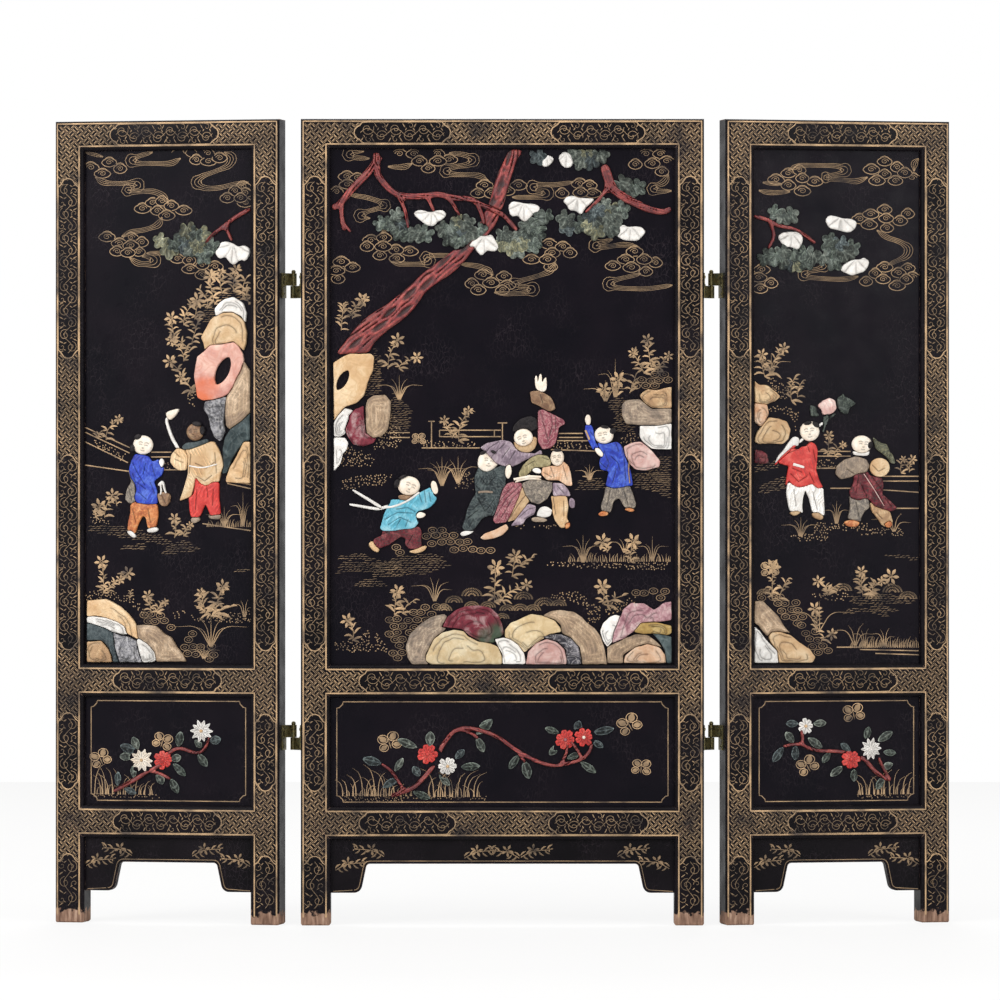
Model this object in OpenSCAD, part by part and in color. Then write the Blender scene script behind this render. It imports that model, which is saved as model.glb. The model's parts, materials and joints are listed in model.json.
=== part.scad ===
// Three-leaf folding screen: black lacquered frames with floating panels,
// cut-out aprons and applied carved stones, joined by loose-pin hinges.
// Millimetres, +Z up. The faces look along -Y, and the wings fold back along +Y.
// The origin is on the floor, under the middle of the box round the screen at rest.

/* [Leaves] */
// Height of every leaf
leaf_h = 1000; // [900:10:1200]
// Width of the centre leaf
centre_w = 500; // [440:5:640]
// Width of each wing
wing_w = 288; // [250:4:360]
// Depth of a leaf from its face to its back
leaf_d = 35; // [34:1:44]

/* [Frame] */
// Width of a stile
stile_w = 37; // [32:1:44]
// Height of the top rail
top_rail_h = 37; // [32:1:44]
// Height of the middle and bottom rails
rail_h = 41; // [34:1:48]
// Underside of the middle rail above the floor
middle_rail_z = 282; // [260:2:320]
// Underside of the bottom rail above the floor
bottom_rail_z = 106; // [96:1:116]
// Rise of the crowned faces of stiles and rails
crown = 1.2; // [0.6:0.2:1.8]
// Radius of the arris on the outer edges of the leaf
outer_arris = 4; // [2:0.5:5]
// Radius of the arris round the openings
inner_arris = 5; // [3:0.5:6]
// Chamfer on the back edges of stiles and rails
back_chamfer = 1; // [0.5:0.5:2]
// Worn chamfer round the bottom of each foot
foot_chamfer = 2; // [1:0.5:3]

/* [Joinery] */
// Depth of the mitred shoulders behind the face
shoulder_d = 8; // [6:0.5:8]
// Distance of the tenons behind the face
tenon_set = 21; // [21:0.5:23]
// Thickness of a tenon
tenon_t = 9; // [7:0.5:10]
// Length of a tenon
tenon_l = 24; // [18:1:28]
// Shoulder above and below a tenon
tenon_shoulder = 8; // [6:1:10]
// Play all round a tenon in its mortise
tenon_play = 0.1; // [0.1:0.05:0.3]

/* [Panels] */
// Distance of the panels behind the face
recess = 9; // [8.5:0.5:10]
// Thickness of the panels
panel_t = 10; // [8:0.5:11]
// Depth of the grooves that hold the panels
groove_d = 8; // [6:0.5:10]
// Play of a panel in its groove, on each side
groove_play = 0.3; // [0.2:0.1:0.6]

/* [Apron] */
// Distance of the apron behind the face
apron_set = 9; // [8.5:0.5:10]
// Thickness of the apron
apron_t = 11; // [9:0.5:11.5]
// Depth of the grooves that hold the apron
apron_groove = 6; // [4:0.5:7]
// Underside of the brackets above the floor
bracket_z = 40; // [30:1:52]
// Width of the flat underside of a bracket
bracket_w = 29; // [20:1:36]
// Radius of the bracket's nose
bracket_r = 10; // [6:1:12]
// Lean of the bracket's side above the nose
bracket_lean = 12; // [4:1:20]
// Crown of the arch above the floor
arch_z = 76; // [70:1:84]
// Radius where the bracket runs into the arch
arch_r = 5; // [3:0.5:7]

/* [Hinges] */
// Gap between neighbouring leaves at the hinge
leaf_gap = 20; // [18:1:26]
// Height of a hinge
hinge_h = 31; // [24:1:40]
// Middle of the lower hinges above the floor
lower_hinge_z = 232; // [180:2:260]
// Middle of the upper hinges above the floor
upper_hinge_z = 794; // [740:2:860]
// Thickness of a hinge plate
plate_t = 1.5; // [1:0.1:2]
// Width of a hinge plate on the side of the stile
plate_w = 18; // [14:1:20]
// Radius of a knuckle
knuckle_r = 4; // [3.2:0.2:5]
// Distance of the pin behind the backs of the leaves
pin_back = 1.5; // [1:0.25:2.5]
// Radius of a hinge pin
pin_r = 1.6; // [1.2:0.1:2]
// Radial play of the pin in the knuckles
pin_play = 0.05; // [0.03:0.01:0.08]
// Play between the upper and the lower knuckle
knuckle_play = 0.4; // [0.3:0.1:0.8]
// Radius of the pin's rounded head
pin_head_r = 2.8; // [2.4:0.1:3.4]

/* [Fold at rest] */
// Angle of each wing behind the plane of the centre leaf
fold = 12; // [6:1:30]

/* [Applied stones] */
// Thickness of the rocks
rock_t = 5; // [3:0.5:7]
// Thickness of the tree, its branches and the flower stems
branch_t = 4.5; // [3:0.5:7]
// Thickness of the leaves
leaf_t = 2.5; // [1.5:0.5:4]
// Thickness of the blossoms and flowers
blossom_t = 4; // [3:0.5:6]
// Thickness of the figures
figure_t = 4.5; // [3:0.5:7]
// Open joint between neighbouring stones
stone_joint = 0.4; // [0.2:0.1:0.6]

/* [Hidden] */
$fn = 48;

lacquer = [0.07, 0.06, 0.07];
panel_lacquer = [0.10, 0.08, 0.09];
old_brass = [0.32, 0.33, 0.27];
coral_red = [0.66, 0.27, 0.22];
leaf_green = [0.25, 0.31, 0.28];
white_stone = [0.93, 0.91, 0.85];
tan_stone = [0.80, 0.68, 0.48];
robe_stone = [0.42, 0.42, 0.55];

// Openings of a leaf
lower_opening_z = bottom_rail_z + rail_h;
lower_opening_h = middle_rail_z - lower_opening_z;
main_opening_z = middle_rail_z + rail_h;
main_opening_h = leaf_h - top_rail_h - main_opening_z;
function opening_w(leaf_w) = leaf_w - 2 * stile_w;

// Pins of the hinges, measured from the middle of the centre leaf's back
pin_x = centre_w / 2 + leaf_gap / 2;
wing_reach = leaf_gap / 2 + wing_w;

// The screen at rest reaches from the centre leaf's face to the wings' outer back edges
back_reach = (wing_reach - back_chamfer) * sin(fold) + pin_back * (1 - cos(fold));
centre_back_y = (leaf_d - back_reach) / 2;

// ---------------------------------------------------------------- frame members

// Distance of a crowned face behind its highest line, at x from the edge of a member
function face_drop(x, w) =
    let (r = (w * w / 4 + crown * crown) / (2 * crown))
    r - sqrt(r * r - (w / 2 - x) * (w / 2 - x));

// Cuts the corner of a section away outside an arc that runs into the face
module arris_cut(r, w) {
    drop = face_drop(r, w);
    difference() {
        translate([-1, -1])
            square([r + 1, r + drop + 1]);
        translate([r, r + drop])
            circle(r = r);
    }
}

// Section of a member: x across its width, y from the face backwards.
// The first arris is at x = 0, and the second at x = w.
module member_section(w, first_arris, second_arris) {
    crown_r = (w * w / 4 + crown * crown) / (2 * crown);
    difference() {
        intersection() {
            square([w, leaf_d]);
            translate([w / 2, crown_r])
                circle(r = crown_r, $fn = 360);
        }
        arris_cut(first_arris, w);
        translate([w, 0])
            mirror([1, 0])
                arris_cut(second_arris, w);
        for (side = [0, 1])
            translate([side * w, leaf_d])
                rotate(45)
                    square(back_chamfer * sqrt(2), center = true);
    }
}

// A plate in the plane of the leaf, drawn in x and z, between two depths behind the face
module in_depth(from, to) {
    translate([0, to - leaf_d, 0])
        rotate([90, 0, 0])
            linear_extrude(height = to - from)
                children();
}

// Pointed shoulders of a rail that reach into the stiles at 45 degrees
module rail_point(leaf_w, z, h) {
    inner = opening_w(leaf_w) / 2;
    polygon([[-inner, z], [inner, z], [inner + h / 2, z + h / 2], [inner, z + h],
        [-inner, z + h], [-inner - h / 2, z + h / 2]]);
}

// Grooves all round an opening for a panel at a given depth
module panel_groove(leaf_w, z, h, d, set, t) {
    w = opening_w(leaf_w) + 2 * d;
    in_depth(set - groove_play, set + t + groove_play)
        translate([-w / 2, z - d])
            square([w, h + 2 * d]);
}

module all_grooves(leaf_w) {
    panel_groove(leaf_w, main_opening_z, main_opening_h, groove_d, recess, panel_t);
    panel_groove(leaf_w, lower_opening_z, lower_opening_h, groove_d, recess, panel_t);
    in_depth(apron_set - groove_play, apron_set + apron_t + groove_play)
        translate([-opening_w(leaf_w) / 2 - apron_groove, bracket_z - groove_play])
            square([opening_w(leaf_w) + 2 * apron_groove,
                bottom_rail_z - bracket_z + apron_groove + groove_play]);
}

// Tenons at both ends of a rail, or with play their mortises
module rail_tenons(leaf_w, z, h, play) {
    length = opening_w(leaf_w) + 2 * (tenon_l + play);
    in_depth(tenon_set - play, tenon_set + tenon_t + play)
        translate([-length / 2, z + tenon_shoulder - play])
            square([length, h - 2 * tenon_shoulder + 2 * play]);
}

// Everything on the outer side of the mitres of the top corners
module above_mitres(leaf_w) {
    inner = opening_w(leaf_w) / 2;
    top = leaf_h + 1;
    polygon([[-inner, leaf_h - top_rail_h], [inner, leaf_h - top_rail_h],
        [inner + stile_w, leaf_h], [inner + stile_w, top], [-inner - stile_w, top],
        [-inner - stile_w, leaf_h]]);
}

// The stile on the given side (-1 left, 1 right) of a leaf
module stile(leaf_w, side) {
    difference() {
        mirror([side > 0 ? 1 : 0, 0, 0])
            translate([-leaf_w / 2, -leaf_d, 0])
                linear_extrude(height = leaf_h)
                    member_section(stile_w, outer_arris, inner_arris);
        in_depth(-1, leaf_d + 1)
            above_mitres(leaf_w);
        in_depth(-1, shoulder_d) {
            rail_point(leaf_w, middle_rail_z, rail_h);
            rail_point(leaf_w, bottom_rail_z, rail_h);
        }
        rail_tenons(leaf_w, middle_rail_z, rail_h, tenon_play);
        rail_tenons(leaf_w, bottom_rail_z, rail_h, tenon_play);
        rail_tenons(leaf_w, leaf_h - top_rail_h, top_rail_h, tenon_play);
        all_grooves(leaf_w);
        foot_chamfers(leaf_w, side);
    }
}

// Worn edges round the bottom of a foot
module foot_chamfers(leaf_w, side) {
    size = foot_chamfer * sqrt(2);
    for (x = [leaf_w / 2 - stile_w, leaf_w / 2])
        translate([side * x, -leaf_d / 2, 0])
            rotate([0, 45, 0])
                cube([size, leaf_d + 2, size], center = true);
    for (y = [-leaf_d, 0])
        translate([side * (leaf_w - stile_w) / 2, y, 0])
            rotate([45, 0, 0])
                cube([stile_w + 2, size, size], center = true);
}

// A member laid along the leaf, with its section turned so that x runs up
module rail_bar(leaf_w, z, h, lower_arris, upper_arris) {
    translate([-leaf_w / 2, -leaf_d, z])
        rotate([90, 0, 90])
            linear_extrude(height = leaf_w)
                rotate(90)
                    mirror([0, 1])
                        member_section(h, lower_arris, upper_arris);
}

// A rail between the stiles: mitred points in the face layer, square shoulders behind
module middle_rail(leaf_w, z) {
    difference() {
        union() {
            intersection() {
                rail_bar(leaf_w, z, rail_h, inner_arris, inner_arris);
                union() {
                    in_depth(-1, shoulder_d)
                        rail_point(leaf_w, z, rail_h);
                    in_depth(shoulder_d, leaf_d + 1)
                        translate([-opening_w(leaf_w) / 2, z - 1])
                            square([opening_w(leaf_w), rail_h + 2]);
                }
            }
            rail_tenons(leaf_w, z, rail_h, 0);
        }
        all_grooves(leaf_w);
    }
}

module top_rail(leaf_w) {
    difference() {
        union() {
            intersection() {
                rail_bar(leaf_w, leaf_h - top_rail_h, top_rail_h, inner_arris, outer_arris);
                in_depth(-1, leaf_d + 1)
                    above_mitres(leaf_w);
            }
            rail_tenons(leaf_w, leaf_h - top_rail_h, top_rail_h, 0);
        }
        all_grooves(leaf_w);
    }
}

// A panel board with its edges in the grooves
module panel(leaf_w, z, h) {
    edge = groove_d - groove_play;
    in_depth(recess, recess + panel_t)
        translate([-opening_w(leaf_w) / 2 - edge, z - edge])
            square([opening_w(leaf_w) + 2 * edge, h + 2 * edge]);
}

// ---------------------------------------------------------------- apron

function arc(centre, r, from, to, steps) =
    [for (i = [0:steps]) centre + r * [cos(from + (to - from) * i / steps),
        sin(from + (to - from) * i / steps)]];

// Right half of the arch between the brackets, from below the floor up, round x = 0
function arch_side(leaf_w) =
    let (
        nose = [opening_w(leaf_w) / 2 - bracket_w, bracket_z + bracket_r],
        inwards = [-cos(bracket_lean), -sin(bracket_lean)],
        start = nose + bracket_r * inwards,
        rise = (arch_z - arch_r * (1 - sin(bracket_lean)) - start[1]) / cos(bracket_lean),
        hollow = start + rise * [-sin(bracket_lean), cos(bracket_lean)] + arch_r * inwards
    )
    concat(
        [[nose[0], -bracket_r], [nose[0], bracket_z]],
        arc(nose, bracket_r, 262, 180 + bracket_lean, 6),
        arc(hollow, arch_r, bracket_lean, 90, 5));

module arch(leaf_w) {
    half = arch_side(leaf_w);
    polygon(concat(half, [for (i = [len(half) - 1:-1:0]) [-half[i][0], half[i][1]]]));
}

module apron(leaf_w) {
    edge = apron_groove - groove_play;
    in_depth(apron_set, apron_set + apron_t)
        difference() {
            translate([-opening_w(leaf_w) / 2 - edge, bracket_z])
                square([opening_w(leaf_w) + 2 * edge, bottom_rail_z - bracket_z + edge]);
            arch(leaf_w);
        }
}

// ---------------------------------------------------------------- hinges

// Section of a hinge half: plate on a side face at x = 0, and a strap to the knuckle.
// The pin is at x = leaf_gap / 2 and pin_back behind the leaf's back.
module hinge_strap() {
    reach = leaf_gap / 2;
    polygon([[0, -back_chamfer - plate_w / 2], [plate_t, -back_chamfer - plate_w / 2],
        [reach, pin_back - knuckle_r], [reach, pin_back], [0, -back_chamfer - plate_t]]);
    translate([reach, pin_back])
        circle(r = knuckle_r);
}

// One half of a hinge whose middle is at z. The knuckle fills the lower or the upper half.
module hinge_half(z, upper) {
    knuckle_h = (hinge_h - knuckle_play) / 2;
    knuckle_z = upper ? z + knuckle_play / 2 : z - hinge_h / 2;
    difference() {
        union() {
            translate([0, -back_chamfer - plate_w, z - hinge_h / 2])
                cube([plate_t, plate_w, hinge_h]);
            translate([0, 0, knuckle_z])
                linear_extrude(height = knuckle_h)
                    hinge_strap();
        }
        translate([leaf_gap / 2, pin_back, z - hinge_h])
            cylinder(r = pin_r + pin_play, h = 2 * hinge_h);
    }
}

module hinge_halves(upper) {
    for (z = [lower_hinge_z, upper_hinge_z])
        hinge_half(z, upper);
}

// Loose pin with a rounded head that rests on the upper knuckle
module hinge_pin(z) {
    translate([leaf_gap / 2, pin_back, z - hinge_h / 2])
        cylinder(r = pin_r, h = hinge_h + 0.5);
    translate([leaf_gap / 2, pin_back, z + hinge_h / 2])
        rotate_extrude()
            intersection() {
                translate([0, pin_head_r * 0.6])
                    circle(r = pin_head_r);
                square([pin_head_r, 2 * pin_head_r]);
            }
}

// ---------------------------------------------------------------- places of the leaves

module on_centre() {
    translate([0, centre_back_y, 0])
        children();
}

// Puts a leaf drawn round its own middle, with its back at y = 0, at the right wing
module on_right() {
    translate([pin_x, centre_back_y + pin_back, 0])
        rotate([0, 0, fold])
            translate([leaf_gap / 2 + wing_w / 2, -pin_back, 0])
                children();
}

module on_left() {
    translate([-pin_x, centre_back_y + pin_back, 0])
        rotate([0, 0, -fold])
            translate([-leaf_gap / 2 - wing_w / 2, -pin_back, 0])
                children();
}

// Side faces of the leaves, for hinge halves drawn with x away from the face
module on_centre_side(side) {
    on_centre()
        mirror([side > 0 ? 0 : 1, 0, 0])
            translate([centre_w / 2, 0, 0])
                children();
}

module on_right_side() {
    on_right()
        translate([-wing_w / 2, 0, 0])
            mirror([1, 0, 0])
                children();
}

module on_left_side() {
    on_left()
        translate([wing_w / 2, 0, 0])
            children();
}

// ---------------------------------------------------------------- applied stones

// Outlines are in mm as worked on leaves of the sizes below: x from the leaf's middle,
// and z above the floor. They follow the panels when a leaf gets another size.
worked_main = [323, 640];
worked_lower = [147, 135];
worked_centre_opening = 426;
worked_wing_opening = 214;

// Point of an outline on its panel, kept clear of the frame round the opening
function on_panel(p, leaf_w, main) =
    let (
        half = opening_w(leaf_w) / 2,
        worked_half = (leaf_w == centre_w ? worked_centre_opening : worked_wing_opening) / 2,
        worked = main ? worked_main : worked_lower,
        z = main ? main_opening_z : lower_opening_z,
        h = main ? main_opening_h : lower_opening_h,
        x = p[0] * half / worked_half,
        up = (p[1] - worked[0]) * h / worked[1]
    )
    [max(min(x, half - stone_joint), stone_joint - half),
        z + max(min(up, h - stone_joint), stone_joint)];
function placed(plan, leaf_w, main) =
    [for (outline = plan) [for (p = outline) on_panel(p, leaf_w, main)]];

// Twice the area of an outline, positive where it runs anticlockwise
function double_area(p, i = 0) =
    i == len(p) ? 0 : cross(p[i], p[(i + 1) % len(p)]) + double_area(p, i + 1);

// Outline grown by d, each corner moved along the bisector of its edges
function grown(p, d) =
    let (turn = sign(double_area(p)), n = len(p))
    [for (i = [0:n - 1])
        let (
            u = (p[i] - p[(i + n - 1) % n]) / norm(p[i] - p[(i + n - 1) % n]),
            v = (p[(i + 1) % n] - p[i]) / norm(p[(i + 1) % n] - p[i]),
            m = [u[1] + v[1], -u[0] - v[0]]
        )
        p[i] + turn * d * m / max(m * m / 2, 0.4)];

function low(p) = [min([for (q = p) q[0]]), min([for (q = p) q[1]])];
function high(p) = [max([for (q = p) q[0]]), max([for (q = p) q[1]])];
function meets(p, q) =
    low(p)[0] < high(q)[0] + 1 && low(q)[0] < high(p)[0] + 1
    && low(p)[1] < high(q)[1] + 1 && low(q)[1] < high(p)[1] + 1;

// Outline along a line of points, from one width to another
function stem_side(p, w0, w1, side) =
    [for (i = [0:len(p) - 1])
        let (
            d = p[min(i + 1, len(p) - 1)] - p[max(i - 1, 0)],
            w = w0 + (w1 - w0) * i / (len(p) - 1)
        )
        p[i] + side * w / 2 * [-d[1], d[0]] / norm(d)];
function stem(p, w0, w1) =
    let (left = stem_side(p, w0, w1, 1), right = stem_side(p, w0, w1, -1))
    concat(left, [for (i = [len(right) - 1:-1:0]) right[i]]);

// Pointed leaf from its foot, of a length and a width, at an angle from +x
function blade(foot, length, width, angle) =
    [for (s = [[0, 0], [0.25, 0.36], [0.6, 0.5], [0.85, 0.28], [1, 0], [0.85, -0.28],
        [0.6, -0.5], [0.25, -0.36]])
        foot + s[0] * length * [cos(angle), sin(angle)] + s[1] * width * [-sin(angle), cos(angle)]];
function blades(list) = [for (b = list) blade(b[0], b[1], b[2], b[3])];

// Flower with round petals about a centre
function petals(c, r, count) =
    [for (i = [0:4 * count - 1])
        c + r * [0.72, 0.95, 1, 0.95][i % 4] * [cos(i * 90 / count), sin(i * 90 / count)]];

function ellipse(c, rx, rz) =
    [for (i = [0:13]) c + [rx * cos(i * 360 / 14), rz * sin(i * 360 / 14)]];

// Lays stones of one thickness on a panel. Each stone gives way, with an open joint,
// to those listed after it and to the stones named as above it.
module lay(plan, above, t, leaf_w, main = true) {
    stones = placed(plan, leaf_w, main);
    upper = placed(above, leaf_w, main);
    in_depth(recess - t, recess)
        for (i = [0:len(stones) - 1])
            difference() {
                polygon(stones[i]);
                for (j = [i + 1:1:len(stones) - 1])
                    if (meets(stones[i], stones[j]))
                        polygon(grown(stones[j], stone_joint));
                for (q = upper)
                    if (meets(stones[i], q))
                        polygon(grown(q, stone_joint));
            }
}

// Lays a stem and its twigs as one carving
module lay_joined(plan, above, t, leaf_w, main = true) {
    upper = placed(above, leaf_w, main);
    in_depth(recess - t, recess)
        difference() {
            union() {
                for (p = placed(plan, leaf_w, main))
                    polygon(p);
            }
            for (q = upper)
                polygon(grown(q, stone_joint));
        }
}

// Trunk of the tree, up its left side and down its right side
centre_trunk_plan = [[[-207, 708], [-196, 722], [-186, 736], [-176, 748], [-160, 760], [-143, 770],
    [-128, 782], [-112, 796], [-95, 812], [-78, 824], [-62, 836], [-44, 852], [-30, 866], [-24, 880],
    [-16, 897], [-11, 915], [-6, 932], [2, 948], [8, 962], [26, 962], [17, 948], [12, 932], [7, 915],
    [3, 898], [-4, 880], [-10, 866], [-24, 850], [-36, 838], [-50, 820], [-66, 806], [-84, 795],
    [-97, 784], [-103, 774], [-112, 762], [-125, 750], [-143, 738], [-160, 722], [-166, 709]]];

centre_branch_plan = [
    stem([[-157, 958], [-155, 930], [-140, 912], [-125, 904], [-100, 904], [-80, 907], [-60, 902],
        [-40, 901], [-25, 893], [-10, 887], [3, 880], [18, 862]], 8, 5),
    stem([[-152, 954], [-165, 935], [-185, 915], [-195, 903], [-203, 893], [-211, 890]], 9, 7),
    stem([[-200, 895], [-199, 872], [-196, 862]], 5, 4),
    stem([[-199, 872], [-188, 860]], 4, 3),
    stem([[-128, 904], [-120, 885], [-117, 865]], 4, 3.5),
    stem([[-93, 903], [-85, 886]], 4, 3.5),
    stem([[-66, 903], [-53, 880]], 4, 3.5),
    stem([[-32, 898], [-25, 880], [-23, 870]], 5, 4),
    stem([[126, 943], [135, 915], [150, 903], [165, 896], [180, 888], [200, 884], [209, 889]], 12, 6),
    stem([[132, 916], [118, 898], [103, 884]], 4, 3.5)];

centre_foliage_plan = [
    [[-165, 873], [-158, 881], [-142, 882], [-135, 888], [-125, 889], [-121, 880], [-112, 870],
        [-100, 868], [-90, 862], [-85, 850], [-92, 846], [-105, 850], [-115, 848], [-122, 845],
        [-128, 850], [-135, 856], [-142, 862], [-150, 861], [-158, 865]],
    [[-85, 868], [-78, 872], [-70, 876], [-60, 879], [-48, 880], [-40, 876], [-36, 870], [-22, 870],
        [-16, 864], [-25, 856], [-32, 852], [-40, 848], [-45, 843], [-52, 838], [-62, 838],
        [-68, 842], [-72, 846], [-70, 855], [-78, 860], [-85, 862]],
    [[-12, 862], [-6, 863], [10, 872], [15, 880], [25, 884], [45, 886], [57, 888], [60, 880],
        [55, 870], [50, 865], [55, 858], [52, 848], [45, 838], [35, 834], [25, 833], [15, 830],
        [5, 830], [-2, 838], [-8, 850], [-14, 858]],
    [[35, 948], [36, 955], [42, 962], [130, 962], [132, 953], [128, 945], [118, 943], [110, 938],
        [100, 940], [95, 944], [86, 940], [72, 941]],
    [[72, 875], [76, 882], [85, 880], [92, 877], [100, 878], [108, 890], [118, 899], [130, 902],
        [145, 899], [158, 896], [162, 888], [157, 878], [150, 872], [145, 868], [142, 858],
        [132, 852], [122, 853], [112, 852], [105, 857], [90, 858], [78, 858], [74, 864]],
    [[140, 922], [145, 925], [152, 924], [160, 921], [172, 920], [180, 916], [178, 909], [170, 905],
        [160, 904], [150, 907], [143, 912]]];

centre_blossom_plan = [
    [[-111, 882], [-106, 887], [-98, 887], [-90, 884], [-80, 887], [-73, 887], [-69, 881],
        [-75, 875], [-80, 873], [-84, 868], [-90, 867], [-97, 870], [-104, 876]],
    [[-42, 842], [-38, 848], [-32, 851], [-28, 855], [-20, 855], [-13, 857], [-9, 850], [-4, 842],
        [-8, 836], [-15, 836], [-19, 837], [-26, 830], [-32, 836], [-34, 841]],
    [[7, 892], [12, 898], [20, 897], [28, 895], [38, 895], [46, 892], [46, 886], [38, 882],
        [35, 878], [28, 872], [22, 876], [20, 880], [10, 879]],
    [[75, 898], [80, 904], [88, 905], [95, 902], [105, 902], [115, 901], [108, 894], [103, 890],
        [98, 881], [91, 886], [83, 887], [80, 893]],
    [[142, 855], [146, 860], [145, 867], [150, 869], [156, 866], [165, 867], [173, 866], [178, 860],
        [174, 855], [168, 849], [158, 849], [150, 850], [145, 853]],
    [[50, 941], [48, 948], [55, 956], [64, 952], [62, 946], [56, 941]],
    [[69, 953], [76, 960], [84, 957], [88, 948], [86, 941], [79, 939], [73, 943]]];

centre_rock_plan = [
    // Pile at the left, under the tree
    [[-209, 624], [-203, 634], [-197, 642], [-183, 638], [-190, 625], [-195, 610], [-200, 606],
        [-209, 606]],
    [[-209, 605], [-195, 605], [-191, 598], [-193, 590], [-198, 585], [-200, 573], [-209, 563]],
    [[-190, 632], [-183, 640], [-172, 645], [-170, 610], [-155, 605], [-160, 598], [-172, 594],
        [-185, 596], [-192, 606], [-195, 615], [-190, 628]],
    [[-168, 652], [-160, 657], [-145, 658], [-138, 650], [-139, 632], [-142, 615], [-150, 606],
        [-160, 604], [-168, 610], [-170, 625], [-170, 640]],
    [[-210, 698], [-200, 704], [-190, 709], [-163, 709], [-159, 705], [-160, 690], [-167, 672],
        [-172, 656], [-180, 648], [-195, 643], [-203, 634], [-209, 626]],
    // Pile at the right
    [[170, 656], [172, 660], [180, 665], [190, 664], [200, 666], [210, 668], [210, 640], [195, 641],
        [185, 641], [176, 648]],
    [[170, 620], [185, 620], [205, 623], [210, 625], [210, 590], [195, 590], [185, 591], [175, 598],
        [170, 606]],
    [[148, 645], [152, 651], [170, 653], [176, 648], [185, 641], [210, 641], [210, 623], [195, 620],
        [170, 620], [153, 622], [148, 632]],
    [[150, 594], [165, 600], [172, 600], [180, 594], [188, 586], [196, 576], [195, 568], [186, 566],
        [178, 564], [165, 565], [158, 572], [152, 582]],
    // Bank at the foot of the panel, from left to right
    [[-120, 345], [-116, 360], [-103, 373], [-88, 383], [-72, 386], [-62, 378], [-75, 362],
        [-86, 350], [-95, 335], [-92, 322], [-112, 322], [-118, 332]],
    [[-95, 335], [-90, 345], [-85, 355], [-75, 363], [-60, 367], [-48, 365], [-42, 358],
        [-30, 352], [-15, 350], [-5, 345], [0, 335], [0, 322], [-88, 322], [-95, 328]],
    [[-75, 370], [-68, 383], [-58, 391], [-45, 396], [-30, 397], [-15, 394], [-5, 385], [0, 372],
        [2, 362], [-5, 354], [-12, 350], [-28, 352], [-42, 360], [-50, 367], [-65, 369]],
    [[-10, 355], [0, 357], [10, 355], [20, 348], [27, 338], [29, 325], [26, 322], [0, 322],
        [0, 335], [-5, 345]],
    [[3, 366], [10, 375], [22, 380], [35, 386], [50, 384], [65, 378], [72, 370], [74, 364],
        [60, 361], [52, 356], [45, 352], [35, 344], [27, 338], [20, 348], [10, 355], [3, 357]],
    [[29, 325], [32, 340], [42, 350], [55, 355], [68, 352], [78, 342], [80, 330], [80, 322],
        [29, 322]],
    [[50, 384], [60, 390], [72, 391], [88, 389], [98, 383], [105, 375], [115, 368], [122, 358],
        [127, 342], [130, 322], [98, 322], [98, 332], [93, 347], [85, 357], [74, 362], [72, 372],
        [65, 379]],
    [[50, 357], [60, 361], [72, 361], [85, 356], [95, 345], [98, 330], [98, 322], [80, 322],
        [80, 330], [78, 342], [68, 352], [58, 355]],
    [[121, 365], [125, 375], [132, 382], [140, 385], [147, 384], [146, 370], [140, 358],
        [135, 350], [130, 345], [125, 352]],
    [[136, 350], [138, 362], [145, 380], [150, 392], [160, 400], [175, 400], [188, 391],
        [200, 400], [210, 402], [210, 378], [190, 376], [175, 375], [165, 366], [150, 355]],
    [[163, 364], [172, 375], [190, 376], [210, 372], [210, 362], [200, 358], [188, 362],
        [175, 361]],
    [[186, 362], [200, 360], [210, 358], [210, 325], [200, 325], [202, 340], [195, 352]],
    [[130, 325], [130, 345], [140, 350], [152, 356], [165, 361], [180, 360], [190, 353],
        [198, 345], [190, 346], [175, 348], [160, 342], [150, 335], [150, 325]],
    [[150, 325], [152, 335], [165, 345], [180, 349], [195, 345], [202, 335], [203, 325]]];

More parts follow.
